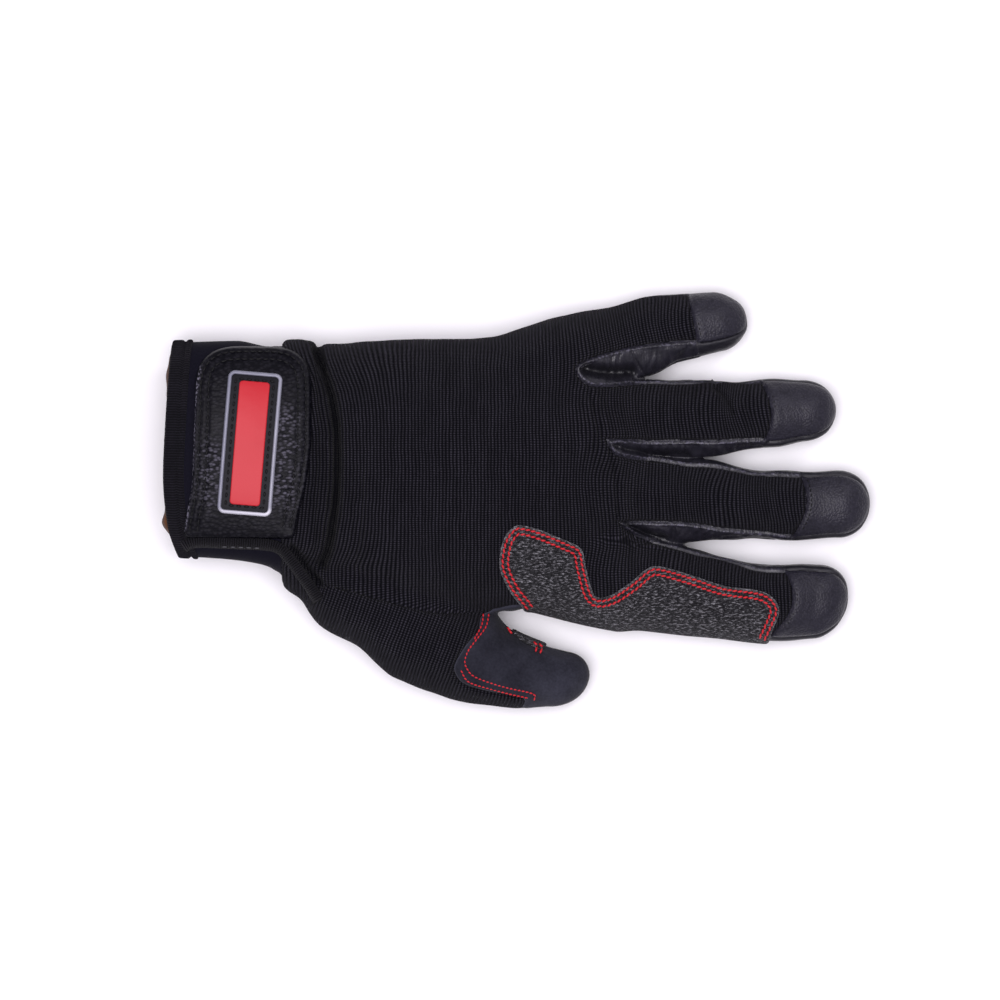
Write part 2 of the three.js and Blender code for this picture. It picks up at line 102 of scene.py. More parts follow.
RING = {
    "root": (0.915, 0.208), "splay": 2.6, "length": 91.5, "width": 26.3, "height": 23.5, "tip_shift": 0.01,
    "sections": [[-0.2, 0.0, 0.90, 1.35], [0.0, 0.0, 0.95, 1.30], [0.27, 0.0, 0.99, 1.04],
                 [0.42, -0.03, 1.02, 1.0], [0.54, -0.05, 0.98, 0.97], [0.62, -0.04, 0.91, 0.95],
                 [0.77, -0.015, 0.88, 0.90], [0.87, 0.0, 0.82, 0.84]],
    "little_seam": [[0.065, 0.45], [0.25, 0.46], [0.45, 0.44], [0.65, 0.41], [0.85, 0.38]],
    "thumb_seam": [[0.12, -0.26], [0.31, -0.31], [0.53, -0.345], [0.74, -0.35], [0.86, -0.32]],
    "cap": 0.748, "cap_bow": 0.030, "cap_low": (0.25, 0.1, 0.68),
}
MIDDLE = {
    "root": (0.948, -0.062), "splay": -1.6, "length": 98.5, "width": 28.6, "height": 24, "tip_shift": -0.02,
    "sections": [[-0.2, 0.0, 0.85, 1.30], [0.0, 0.0, 0.95, 1.28], [0.2, -0.01, 1.01, 1.05],
                 [0.34, -0.04, 1.02, 1.0], [0.44, -0.025, 0.965, 0.97], [0.52, -0.05, 0.885, 0.955],
                 [0.6, -0.06, 0.82, 0.94], [0.73, -0.07, 0.84, 0.90], [0.885, -0.03, 0.80, 0.82]],
    "little_seam": [[0.069, 0.55], [0.11, 0.475], [0.25, 0.43], [0.45, 0.38], [0.63, 0.30], [0.87, 0.32]],
    "thumb_seam": [[0.11, -0.33], [0.32, -0.31], [0.56, -0.4], [0.74, -0.43], [0.87, -0.41]],
    "cap": 0.770, "cap_bow": 0.036, "cap_low": (0.55, 0.12, 0.42),
}
INDEX = {
    "root": (0.971, -0.390), "splay": -4.2, "length": 87, "width": 29.4, "height": 24, "tip_shift": 0.03,
    "sections": [[-0.45, 0.30, 0.40, 0.95], [-0.2, 0.09, 0.80, 1.26], [0.0, 0.07, 0.99, 1.24],
                 [0.18, 0.06, 1.05, 1.06], [0.34, 0.02, 1.01, 1.0], [0.5, -0.033, 0.92, 0.97],
                 [0.67, -0.065, 0.90, 0.94], [0.79, -0.03, 0.90, 0.90], [0.87, -0.01, 0.88, 0.84]],
    "little_seam": [[0.14, 0.60], [0.3, 0.50], [0.46, 0.42], [0.67, 0.32], [0.85, 0.35]],
    "thumb_seam": [[0.2, -0.6], [0.5, -0.58], [0.7, -0.50], [0.86, -0.39]],
    "cap": 0.774, "cap_bow": 0.056, "cap_low": (0.6, 0.12, 0.35),
}
THUMB = {
    "root": (0.301, -0.354), "splay": -19.8, "length": 107.5, "width": 35, "height": 29, "tip_shift": -0.05,
    "sections": [[-0.03, 0.12, 0.30, 0.90], [0.12, -0.02, 0.78, 1.08], [0.25, -0.05, 0.88, 1.13],
                 [0.4, -0.14, 1.0, 1.12], [0.52, -0.17, 1.0, 1.06], [0.62, -0.17, 0.96, 0.98],
                 [0.71, -0.205, 0.80, 0.90], [0.81, -0.178, 0.694, 0.82], [0.905, -0.12, 0.58, 0.72]],
}
FINGERS = [LITTLE, RING, MIDDLE, INDEX]
FAR = 25
REACH = 12


def smooth_through(at, stops, values):
    """A smooth line through the stops. Between two of them it is a cubic, whose slope at each stop is
    the harmonic mean of the slopes on its two sides, or nothing where the line turns back, so that it
    never overshoots."""
    stops, values = np.asarray(stops, float), np.asarray(values, float)
    rise = np.diff(values) / np.diff(stops)
    same = rise[1:] * rise[:-1] > 0
    between = np.where(same, 2 * rise[1:] * rise[:-1] / np.where(same, rise[1:] + rise[:-1], 1), 0)
    slope = np.concatenate([rise[:1], between, rise[-1:]])
    i = np.clip(np.searchsorted(stops, at) - 1, 0, len(stops) - 2)
    wide = stops[i + 1] - stops[i]
    t = np.clip((at - stops[i]) / wide, 0, 1)
    return ((1 + 2 * t) * (1 - t) ** 2 * values[i] + t ** 2 * (3 - 2 * t) * values[i + 1]
            + wide * (t * (1 - t) ** 2 * slope[i] - t ** 2 * (1 - t) * slope[i + 1]))


def smooth_step(value, start, end):
    """0 before the start, 1 after the end, and 3 t^2 - 2 t^3 in between."""
    t = np.clip((value - start) / (end - start), 0, 1)
    return t * t * (3 - 2 * t)


def smooth_least(a, b, reach):
    """The lesser of two fields, rounded over where they differ by less than the reach."""
    share = np.clip(0.5 + 0.5 * (b - a) / reach, 0, 1)
    return b + (a - b) * share - reach * share * (1 - share)


def smooth_most(a, b, reach):
    """The greater of two fields, rounded over where they differ by less than the reach."""
    return -smooth_least(-a, -b, reach)


def outside(across, up, half_width, half_height, squareness, beyond, end_length):
    """How far outside a squared ellipse a place is. Its size there is r = (|across / half width|^n +
    |up / half height|^n) ^ (1 / n), rounded over past its end to the root of r^2 + beyond^2. The
    distance is r - 1 over r's own steepness."""
    across, up = np.abs(across) + 1e-6, np.abs(up) + 1e-6
    a = (across / half_width) ** squareness
    b = (up / half_height) ** squareness
    size = (a + b) ** (1 / squareness)
    steep = size ** (1 - squareness) * np.hypot(a / across, b / up)
    whole = np.hypot(size, beyond)
    steep = np.hypot(size * steep, beyond / end_length) / whole
    return (whole - 1) / np.maximum(steep, 0.5 / np.maximum(half_width, half_height))


def turned_by(degrees, x, y):
    """A place or a way in the plan, turned anticlockwise about the origin."""
    turn = math.radians(degrees)
    return x * math.cos(turn) - y * math.sin(turn), x * math.sin(turn) + y * math.cos(turn)


def on_digit(digit, x, y):
    """A place in the plan as a share of the digit's length along its axis, and the distance across
    it."""
    dx, dy = x - digit["root"][0] * HAND_LENGTH, y - digit["root"][1] * PALM_WIDTH
    along, across = turned_by(-digit["splay"], dx, dy)
    return along / digit["length"], across


def digit_plan(digit, places):
    """The plan of places given as shares of the digit's length along its axis, and of its width across
    it."""
    along, across = (np.asarray(places, float) * [digit["length"], digit["width"]]).T
    dx, dy = turned_by(digit["splay"], along, across)
    return np.stack([digit["root"][0] * HAND_LENGTH + dx, digit["root"][1] * PALM_WIDTH + dy], axis=1)


def hand_plan(places):
    """The plan of places given as shares of the hand's length and width."""
    return np.asarray(places, float) * [HAND_LENGTH, PALM_WIDTH]


def hand_section(x):
    """The middle, half width, middle height and half height of the hand's section at x."""
    at, *columns = HAND_SECTIONS.T
    little, thumb, height, lift = [smooth_through(x / HAND_LENGTH, at, column) for column in columns]
    half_height = PALM_HEIGHT * height / 2
    return (PALM_WIDTH * (little + thumb) / 2, PALM_WIDTH * (little - thumb) / 2,
            PALM_HEIGHT * lift + half_height - FLATTEN, half_height)


def hand_form(x, y, z):
    """How far outside the hand a place is, without its digits."""
    middle, half_width, centre, half_height = hand_section(x)
    beyond = np.maximum(x / HAND_LENGTH - HAND_SECTIONS[-1, 0], 0) / HAND_CLOSES
    return outside(y - middle, z - centre, half_width, half_height, HAND_SQUARENESS, beyond,
                   HAND_CLOSES * HAND_LENGTH)


def digit_form(digit, x, y, z):
    """The digit's sections along its axis, closed over its tip and inside the hand. Far from it, only a
    large number."""
    at, across = on_digit(digit, x, y)
    stops, shift, width, height = np.array(digit["sections"]).T
    near = (at > stops[0] - 0.2) & (at < 1.15) & (np.abs(across) < 0.9 * digit["width"])
    at, across, up = at[near], across[near], z[near]
    half_width = digit["width"] * smooth_through(at, stops, width) / 2
    half_height = digit["height"] * smooth_through(at, stops, height) / 2
    side = digit["width"] * smooth_through(at, [*stops, 1.0], [*shift, digit["tip_shift"]])
    tip = 1 - stops[-1]
    beyond = np.maximum(at - stops[-1], 0) / tip + np.maximum(stops[0] - at, 0) / tip
    form = np.full(near.shape, float(FAR))
    form[near] = outside(across - side, up - half_height + FLATTEN, half_width, half_height,
                         DIGIT_SQUARENESS, beyond, tip * digit["length"])
    return form


def glove_form(x, y, z, thumb=True):
    """How far outside the glove's skin a place is. The fingers meet in soft creases, and all digits
    melt into the hand."""
    hand = hand_form(x, y, z)
    fingers = digit_form(LITTLE, x, y, z)
    for digit in FINGERS[1:]:
        fingers = smooth_least(fingers, digit_form(digit, x, y, z), CREASE)
    form = smooth_least(hand, fingers, WEB)
    if thumb:
        form = np.minimum(form, smooth_least(hand, digit_form(THUMB, x, y, z), THUMB_WEB))
    return smooth_most(form, -z, 1.0)


def surface(form, low, high, step):
    """The closed surface where a form is nought, by cells of a grid. Each cell that the surface passes
    through gets one point, the mean of where it crosses the cell's edges. Each crossed edge gets a face
    between its four cells' points."""
    axes = [np.arange(a, b + step, step) for a, b in zip(low, high)]
    value = form(*np.meshgrid(*axes, indexing="ij"))
    cells = tuple(n - 1 for n in value.shape)
    total, count = np.zeros((*cells, 3)), np.zeros(cells)
    for axis in range(3):
        turned, filled = np.moveaxis(value, axis, 0), np.moveaxis(count, axis, 0)
        sums = np.moveaxis(total, axis, 0)
        others = [i for i in range(3) if i != axis]
        start, end = turned[:-1], turned[1:]
        crossed = (start < 0) != (end < 0)
        part = np.where(crossed, start / np.where(crossed, start - end, 1), 0)
        for j in range(2):
            for k in range(2):
                window = (slice(None), slice(j, j + filled.shape[1]), slice(k, k + filled.shape[2]))
                filled += crossed[window]
                sums[..., axis] += part[window]
                sums[..., others[0]] += j * crossed[window]
                sums[..., others[1]] += k * crossed[window]
    used = count > 0
    number = np.full(cells, -1)
    number[used] = np.arange(used.sum())
    points = np.array(low) + step * (np.argwhere(used) + total[used] / count[used][:, None])
    faces = []
    for axis in range(3):
        order = (axis, (axis + 1) % 3, (axis + 2) % 3)
        turned, cell = value.transpose(order), number.transpose(order)
        start, end = turned[:-1, 1:-1, 1:-1], turned[1:, 1:-1, 1:-1]
        four = np.stack([cell[:, :-1, :-1], cell[:, 1:, :-1], cell[:, 1:, 1:], cell[:, :-1, 1:]], axis=-1)
        faces += [four[(start < 0) & (end >= 0)], four[(start >= 0) & (end < 0)][:, ::-1]]
    return points, np.concatenate(faces)


def steepness(form, points):
    """How a form grows along each axis, from places a little to either side."""
    reach = 0.2
    return np.stack([(form(*(points + step).T) - form(*(points - step).T)) / (2 * reach)
                     for step in reach * np.eye(3)], axis=1)


def normals(points, form=glove_form):
    """The way a form grows fastest, one unit long."""
    slope = steepness(form, points)
    return slope / np.maximum(np.linalg.norm(slope, axis=1, keepdims=True), 1e-6)


def to_level(points, level=0.0, form=glove_form, rounds=3, most=0.6):
    """Moves points along a form's steepness until it holds the level there: by (level - form) /
    steepness each round."""
    for _ in range(rounds):
        slope = steepness(form, points)
        short = level - form(*points.T)
        move = slope * (short / np.maximum((slope ** 2).sum(axis=1), 0.1))[:, None]
        length = np.linalg.norm(move, axis=1, keepdims=True)
        points = points + move * np.minimum(1, most / np.maximum(length, 1e-9))
    return points


def height_at(x, y, level=0.0, form=glove_form):
    """How high the glove's back is over places in the plan, by halving the range that holds it."""
    low, high = np.full(np.shape(x), float(SEAM_HEIGHT)), np.full(np.shape(x), 55.0)
    for _ in range(18):
        middle = (low + high) / 2
        over = form(x, y, middle) > level
        low, high = np.where(over, low, middle), np.where(over, middle, high)
    return (low + high) / 2


def drawn_through(places, steps=6):
    """A smooth line through places. Between two of them it is a cubic, along the line between its
    neighbours at each."""
    places = np.asarray(places, float)
    ends = np.concatenate([[2 * places[0] - places[1]], places, [2 * places[-1] - places[-2]]])
    a, b, c, d = ends[:-3, None], ends[1:-2, None], ends[2:-1, None], ends[3:, None]
    t = np.linspace(0, 1, steps, endpoint=False)[None, :, None]
    line = 0.5 * (2 * b + (c - a) * t + (2 * a - 5 * b + 4 * c - d) * t ** 2
                  + (3 * b - a - 3 * c + d) * t ** 3)
    return np.concatenate([line.reshape(-1, 2), places[-1:]])


def drawn_round(places, steps=6):
    """The same smooth line, closed on itself."""
    places = np.asarray(places, float)
    return drawn_through(np.concatenate([places[-2:], places, places[:2]]), steps)[2 * steps:-2 * steps - 1]


def closed_line(outline):
    """A closed outline as a line that ends where it starts."""
    return np.concatenate([outline, outline[:1]])


def line_distance(x, y, line):
    """How far each place in the plan is from a line of many short sides, or FAR where it is out of the
    line's reach."""
    line = np.asarray(line, float)
    low, high = line.min(axis=0) - REACH, line.max(axis=0) + REACH
    near = (x > low[0]) & (x < high[0]) & (y > low[1]) & (y < high[1])
    px, py = x[near], y[near]
    least = np.full(px.shape, float(FAR) ** 2)
    for (ax, ay), (bx, by) in zip(line[:-1], line[1:]):
        dx, dy = bx - ax, by - ay
        t = np.clip(((px - ax) * dx + (py - ay) * dy) / max(dx * dx + dy * dy, 1e-12), 0, 1)
        least = np.minimum(least, (px - ax - t * dx) ** 2 + (py - ay - t * dy) ** 2)
    distance = np.full(np.shape(x), float(FAR))
    distance[near] = np.sqrt(least)
    return distance


def skin_distance(points, line):
    """How far each point is from a line of many short sides in space, or FAR where it is out of the
    line's reach."""
    low, high = line.min(axis=0) - REACH / 2, line.max(axis=0) + REACH / 2
    near = ((points > low) & (points < high)).all(axis=1)
    places = points[near]
    least = np.full(len(places), float(FAR) ** 2)
    for start, end in zip(line[:-1], line[1:]):
        way = end - start
        t = np.clip((places - start) @ way / max(way @ way, 1e-12), 0, 1)[:, None]
        least = np.minimum(least, ((places - start - t * way) ** 2).sum(axis=1))
    distance = np.full(len(points), float(FAR))
    distance[near] = np.sqrt(least)
    return distance


def within(x, y, outline):
    """How far inside a closed outline each place is, less than nothing outside. A place is inside where
    a line drawn from it crosses the outline an odd number of times."""
    ring = closed_line(outline)
    odd = np.zeros(np.shape(x), bool)
    for (ax, ay), (bx, by) in zip(ring[:-1], ring[1:]):
        if ay != by:
            odd ^= ((ay > y) != (by > y)) & (x < ax + (y - ay) * (bx - ax) / (by - ay))
    return np.where(odd, 1, -1) * line_distance(x, y, ring)


# The folds. Knit gathers into a deep valley beside the strap and a shallower one past it, puffs up
# between them, is pinched where the slit ends and tucked on the ring finger. Low lumps go all over, as
# in any worn cloth.
GATHER_VALLEY = [(51.5, 50), (54.6, 40), (58.2, 29), (60, 16), (60.3, 2), (59.4, -10), (57.6, -23),
                 (55, -31)]
SOFT_VALLEY = [(67.9, 2), (68, -12), (65.5, -33)]
GATHER_PUFF = [(51, 46), (55, 30), (56, 10), (55, -10), (52.5, -22)]
SLIT_GROOVE = [(44.8, -24.6), (47.2, -27.4), (50.6, -32), (54.2, -37)]
SLIT_EDGE = [(47.2, -26.6), (51.5, -28.8), (56, -31.3)]
RING_TUCK = [(193, 32), (196.5, 28.5), (199, 23)]
KNUCKLE_CREASES = [[(186, 31), (187, 24), (186, 17)], [(203, 28), (205.5, 22), (206, 17)],
                   [(212, -1), (214.5, -8), (214, -16)], [(196, 1), (197, -8), (196, -15)],
                   [(171, 61), (173, 55), (173, 49)]]
ROOT_CREASES = [[(148.2, 30.5), (150.6, 22), (152.6, 14)], [(155.5, 9), (158, -2), (158.6, -13)]]
KNIT_STANDS = 0.9

# The fold of each line: how deep it is, or less than nothing for a ridge, and how wide.
GATHER_DEPTH = 5.0
GATHER_WIDTH = 1.5
FOLDS = [
    (SOFT_VALLEY, 1.5, 2.4), (GATHER_PUFF, -1.3, 2.3), (SLIT_GROOVE, 3.2, 1.4), (SLIT_EDGE, 0.9, 0.8),
    (RING_TUCK, 1.5, 1.3), *[(line, 0.8, 1.5) for line in KNUCKLE_CREASES],
    *[(line, 0.5, 0.9) for line in ROOT_CREASES],
]


def near_line(x, y, line, width):
    """1 on a line, and e^(-(distance / width)^2) beside it."""
    return np.exp(-(line_distance(x, y, line) / width) ** 2)


def crease(x, y, line, depth, width):
    """A valley along a line."""
    return -depth * near_line(x, y, line, width)


def lumps(x, y, z, wavelength, seed):
    """Smooth unevenness of about -1 to 1, the sum of slanting waves drawn by chance."""
    chance = np.random.default_rng(seed)
    total = 0
    for _ in range(7):
        way = chance.normal(size=3)
        way *= 2 * math.pi / (wavelength * chance.uniform(0.7, 1.5) * np.linalg.norm(way))
        total = total + np.sin(x * way[0] + y * way[1] + z * way[2] + chance.uniform(0, 2 * math.pi))
    return total / 3


def folds(points):
    """How far the folds and lumps lift the skin, on the glove's back."""
    x, y, z = points.T
    back = smooth_step(z, 8, 16)
    lift = crease(x, y, drawn_through(GATHER_VALLEY), GATHER_DEPTH, GATHER_WIDTH) * smooth_step(z, 15, 28)
    for line, depth, width in FOLDS:
        lift += crease(x, y, drawn_through(line), depth, width)
    cuff = smooth_step(-x, -60, -50)
    loose = 0.35 * lumps(x, y, z, 24, 1) + 0.12 * lumps(x, y, z, 9, 2)
    return back * lift + (1 - 0.8 * cuff) * loose * smooth_step(z, 0.5, 6)


# Cutting. The skin is drawn once and cut into panels along their seams, so that neighbours meet
# exactly.
LOW, HIGH = (-3, -84, -1.5), (250.5, 68, 42)
SKIN_STEP = 0.8
FLAT_BELOW = 0.2
FLAT_STEP = 3
WELD = 0.002


def split(mesh, value):
    """Cuts a mesh of triangles along the line where a value at its points is nought, and gives the part
    above nought and the part below. A crossed edge gets a point where the value would be nought on
    it."""
    points, faces = mesh
    above = value > 0
    count = above[faces].sum(axis=1)
    parts = []
    mixed = faces[(count == 1) | (count == 2)]
    lone_above = count[(count == 1) | (count == 2)] == 1
    odd = np.argmax(above[mixed] == lone_above[:, None], axis=1)
    turned = np.take_along_axis(mixed, (odd[:, None] + np.arange(3)) % 3, axis=1)
    first, second, third = turned.T
    pairs = np.sort(np.concatenate([np.stack([first, second], 1), np.stack([first, third], 1)]), axis=1)
    edges, where = np.unique(pairs, axis=0, return_inverse=True)
    a, b = value[edges[:, 0]], value[edges[:, 1]]
    share = (a / (a - b))[:, None]
    cuts = points[edges[:, 0]] * (1 - share) + points[edges[:, 1]] * share
    everything = np.concatenate([points, cuts])
    ab, ac = (where.ravel() + len(points)).reshape(2, -1)
    corner = np.stack([first, ab, ac], axis=1)
    rest = np.concatenate([np.stack([ab, second, third], axis=1), np.stack([ab, third, ac], axis=1)])
    for keep, whole in ((lone_above, 3), (~lone_above, 0)):
        both = np.concatenate([faces[count == whole], corner[keep], rest[np.tile(~keep, 2)]])
        used, renumbered = np.unique(both, return_inverse=True)
        parts.append((everything[used], renumbered.reshape(-1, 3)))
    return parts


def score(mesh, value):
    """The same mesh with points added along the line where a value at its points is nought."""
    above, below = split(mesh, value)
    points = np.concatenate([above[0], below[0]])
    places = np.round(points / (WELD / 2))
    _, first, same = np.unique(places, axis=0, return_index=True, return_inverse=True)
    faces = same.ravel()[np.concatenate([above[1], below[1] + len(above[0])])]
    return points[first], faces


def finer(mesh):
    """The same mesh with each triangle cut into four at the middles of its sides."""
    points, faces = mesh
    pairs = np.sort(faces[:, [[0, 1], [1, 2], [2, 0]]].reshape(-1, 2), axis=1)
    edges, where = np.unique(pairs, axis=0, return_inverse=True)
    ab, bc, ca = (where.ravel() + len(points)).reshape(-1, 3).T
    a, b, c = faces.T
    parts = [np.stack(corners, axis=1) for corners in ((a, ab, ca), (ab, b, bc), (ca, bc, c), (ab, bc, ca))]
    return np.concatenate([points, points[edges].mean(axis=1)]), np.concatenate(parts)


def coarser(mesh, where, size):
    """The same mesh with the marked points that share a square of the plan made into one, at their
    middle."""
    points, faces = mesh
    alone = np.where(where, 0, np.arange(1, len(points) + 1))
    cells = np.column_stack([np.floor(points[:, :2] / size), alone])
    _, number, count = np.unique(cells, axis=0, return_inverse=True, return_counts=True)
    number = number.ravel()
    middles = np.stack([np.bincount(number, column) for column in points.T], axis=1) / count[:, None]
    faces = number[faces]
    apart = (faces != np.roll(faces, 1, axis=1)).all(axis=1)
    return middles, faces[apart]


skin_points, skin_faces = surface(glove_form, LOW, HIGH, SKIN_STEP)
skin_points = to_level(skin_points)
skin = skin_points, np.concatenate([skin_faces[:, [0, 1, 2]], skin_faces[:, [0, 2, 3]]])
skin = coarser(skin, skin_points[:, 2] < FLAT_BELOW, FLAT_STEP)


# What each panel's outline in the plan is.
def past_cap(digit, x, y):
    """How far past the fingertip leather's bowed edge a place is: the edge falls back by the square of
    its distance from the digit's axis. It is less than nothing away from the digit."""
    at, across = on_digit(digit, x, y)
    edge = digit["cap"] - digit["cap_bow"] * np.minimum(across / (0.4 * digit["width"]), 1.2) ** 2
    return np.minimum((at - edge) * digit["length"], 0.7 * digit["width"] - np.abs(across))


def over_cap_side(digit, x, y, z):
    """How high over the fingertip leather's lower edge a place is. The edge is at a share of the
    finger's half height, which goes from the tip's to a side's as the square of how far towards that
    side it is."""
    little, tip, thumb = digit["cap_low"]
    at, across = on_digit(digit, x, y)
    stops, shift, width, height = np.array(digit["sections"]).T
    half_height = digit["height"] * smooth_through(at, stops, height) / 2
    aside = across / digit["width"] - smooth_through(at, [*stops, 1.0], [*shift, digit["tip_shift"]])
    share = tip + (np.where(aside > 0, little, thumb) - tip) * np.minimum(np.abs(aside) / 0.4, 1) ** 2
    return z - (half_height * (1 + share) - FLATTEN)


def strip_line(crotch, upper, lower):
    """The strip's seam: down one finger, round their crotch and up the other."""
    return drawn_through(np.concatenate([digit_plan(upper, upper["thumb_seam"][::-1]), hand_plan([crotch]),
                                         digit_plan(lower, lower["little_seam"])]))


def fourchette_outline(crotch, upper, lower):
    """The strip between two fingers: within its seam, and out past their tips."""
    return np.concatenate([strip_line(crotch, upper, lower), digit_plan(lower, [[0.97, 0.9]])])


CROTCHES = [(0.916, 0.401), (0.985, 0.135), (1.014, -0.168)]
THUMB_SEAM = [(0.36, -0.39), (0.485, -0.443), (0.592, -0.485), (0.717, -0.487)]
THUMB_CLEAR = [(0.73, -0.6), (1.2, -1.3), (0.2, -1.3), (0.25, -0.6)]
SUEDE_OUTLINE = [
    (0.71, 0.445), (0.66, 0.37), (0.604, 0.25), (0.609, 0.095), (0.587, -0.088), (0.574, -0.32),
    (0.595, -0.43), (0.632, -0.477), (0.698, -0.465), (0.774, -0.43), (0.831, -0.44), (0.85, -0.9),
    (1.3, -0.9), (1.3, 0.3), (0.78, 0.5),
]
CUFF_LENGTH = 41.2
BINDING_WIDTH = 7.4
CUFF_EDGE = np.array([(0.036, -0.32), (0.009, -0.18), (0.0, 0.0), (0.005, 0.2), (0.015, 0.46),
                      (0.024, 0.60)])


def cuff_edge(y):
    """Where along the arm the cuff's mouth is, at each place across it."""
    return HAND_LENGTH * smooth_through(y / PALM_WIDTH, CUFF_EDGE[:, 1], CUFF_EDGE[:, 0])


def cut_cuff(mesh):
    """The cloth from under the tape round the mouth to the knit, and the rest. What lies past the mouth
    is dropped."""
    x, y, _ = mesh[0].T
    mesh, _ = split(mesh, x - cuff_edge(y) - BINDING_WIDTH + 1)
    return split(mesh, CUFF_LENGTH - mesh[0][:, 0])


thumb_seam = drawn_through(hand_plan(THUMB_SEAM))
thumb_panel = np.concatenate([thumb_seam, hand_plan(THUMB_CLEAR)])
suede_outline = drawn_round(digit_plan(THUMB, SUEDE_OUTLINE), 4)
strips = {
    "fourchette_little_ring": fourchette_outline(CROTCHES[0], LITTLE, RING),
    "fourchette_ring_middle": fourchette_outline(CROTCHES[1], RING, MIDDLE),
    "fourchette_middle_index": fourchette_outline(CROTCHES[2], MIDDLE, INDEX),
}
panels = {}
panels["cuff_fabric"], rest = cut_cuff(skin)
for name, digit in zip(("cap_little", "cap_ring", "cap_middle", "cap_index"), FINGERS):
    x, y, z = rest[0].T
    panels[name], rest = split(rest, np.minimum(over_cap_side(digit, x, y, z), past_cap(digit, x, y)))
x, y, z = rest[0].T
panels["thumb_suede"], rest = split(rest, np.minimum(z - SEAM_HEIGHT, within(x, y, suede_outline)))
x, y, z = rest[0].T
panels["thumb_knit"], rest = split(rest, np.minimum(z - SEAM_HEIGHT, within(x, y, thumb_panel)))
for name, outline in strips.items():
    x, y, z = rest[0].T
    not_tip = -np.max([past_cap(digit, x, y) for digit in FINGERS], axis=0)
    inside = np.minimum(np.minimum(z - SEAM_HEIGHT, not_tip), within(x, y, outline))
    panels[name], rest = split(rest, inside)
x, y, z = rest[0].T
not_tip = -np.max([past_cap(digit, x, y) for digit in FINGERS], axis=0)
panels["back_knit"], panels["palm_leather"] = split(rest, np.minimum(z - SEAM_HEIGHT, not_tip))


# Where the seams run, and how they pull the skin in and let it puff up beside them.
SCORES = (0.5, 1.2)


def cap_line(digit, past=0.0, half=0.52):
    """The cap's bowed edge in the plan, or a line at a share of the finger's length past it."""
    side = np.linspace(-half, half, 27)
    along = digit["cap"] + past - digit["cap_bow"] * (side / 0.4) ** 2
    return digit_plan(digit, np.stack([along, side], axis=1))


def on_skin(line):
    """A line in the plan, laid on the glove's back."""
    return np.column_stack([line, height_at(*line.T)])


strip_seams = []
for crotch, upper, lower in zip(CROTCHES, FINGERS[:-1], FINGERS[1:]):
    line = on_skin(strip_line(crotch, upper, lower))
    past = np.maximum(past_cap(upper, *line.T[:2]), past_cap(lower, *line.T[:2]))
    strip_seams.append(line[past < 0])
seams = [on_skin(thumb_seam), on_skin(suede_outline), *strip_seams]
for digit in FINGERS:
    line = on_skin(cap_line(digit))
    seams.append(line[over_cap_side(digit, *line.T) > 0])


def seam_distance(points):
    """How far the nearest seam is: one on the back, or the one between back and palm. On a finger that
    one goes over to the cap's lower edge, which starts a seam's width past the cap's own line."""
    x, y, z = points.T
    plan = np.min([skin_distance(points, seam) for seam in seams], axis=0)
    side = np.where(x < CUFF_LENGTH, FAR, np.abs(z - SEAM_HEIGHT))
    for digit in FINGERS:
        past = past_cap(digit, x, y)
        side = np.where(past > 0, np.hypot(over_cap_side(digit, x, y, z), np.maximum(1.5 - past, 0)), side)
    return np.minimum(plan, np.minimum(side, np.abs(x - CUFF_LENGTH)))


def seam_pull(near):
    """A seam's own relief at a distance d from it: a groove of depth e^(-(d / width)^2) and a low ridge
    beside it."""
    return 0.2 * np.exp(-((near - 2.4) / 1.4) ** 2) - 0.8 * np.exp(-(near / 0.7) ** 2)


def dressed(mesh, extra=None):
    """A panel scored at even distances from its seams, so that its faces follow them, and lifted along
    the skin's normal by its folds and seams. The lift fades in the sharp creases between two fingers,
    where the form's steepness falls from 0.8 to 0.4. Gives the points on the skin, and the mesh."""
    for distance in SCORES:
        mesh = score(mesh, seam_distance(mesh[0]) - distance)
    flat, faces = mesh
    lift = folds(flat) + seam_pull(seam_distance(flat))
    if extra is not None:
        lift = lift + extra(flat)
    slope = steepness(glove_form, flat)
    size = np.maximum(np.linalg.norm(slope, axis=1), 1e-6)
    lift = lift * smooth_step(size, 0.4, 0.8) / size
    return flat, (flat + slope * lift[:, None], faces)


class Wire:
    """A number or colour on its way through a finish. A sign between it and another value adds a Math
    node."""

    def __init__(self, finish, socket):
        self.finish, self.socket = finish, socket

    def maths(self, operation, *values):
        return self.finish.node("Math", {"operation": operation}, dict(enumerate(values)))

    def __add__(self, other):
        return self.maths("ADD", self, other)

    def __sub__(self, other):
        return self.maths("SUBTRACT", self, other)

    def __rsub__(self, other):
        return self.maths("SUBTRACT", other, self)

    def __mul__(self, other):
        return self.maths("MULTIPLY", self, other)

    def __abs__(self):
        return self.maths("ABSOLUTE", self)

    __radd__ = __add__
    __rmul__ = __mul__

    def wave(self, length):
        """0 to 1 and back each length."""
        return self.maths("SINE", self * (2 * math.pi / length)) * 0.5 + 0.5

    def between(self, low, high):
        """0 up to the low value, 1 from the high one, and smooth in between."""
        sockets = {"Value": self, "From Min": low, "From Max": high}
        return self.finish.node("MapRange", {"interpolation_type": "SMOOTHSTEP"}, sockets)


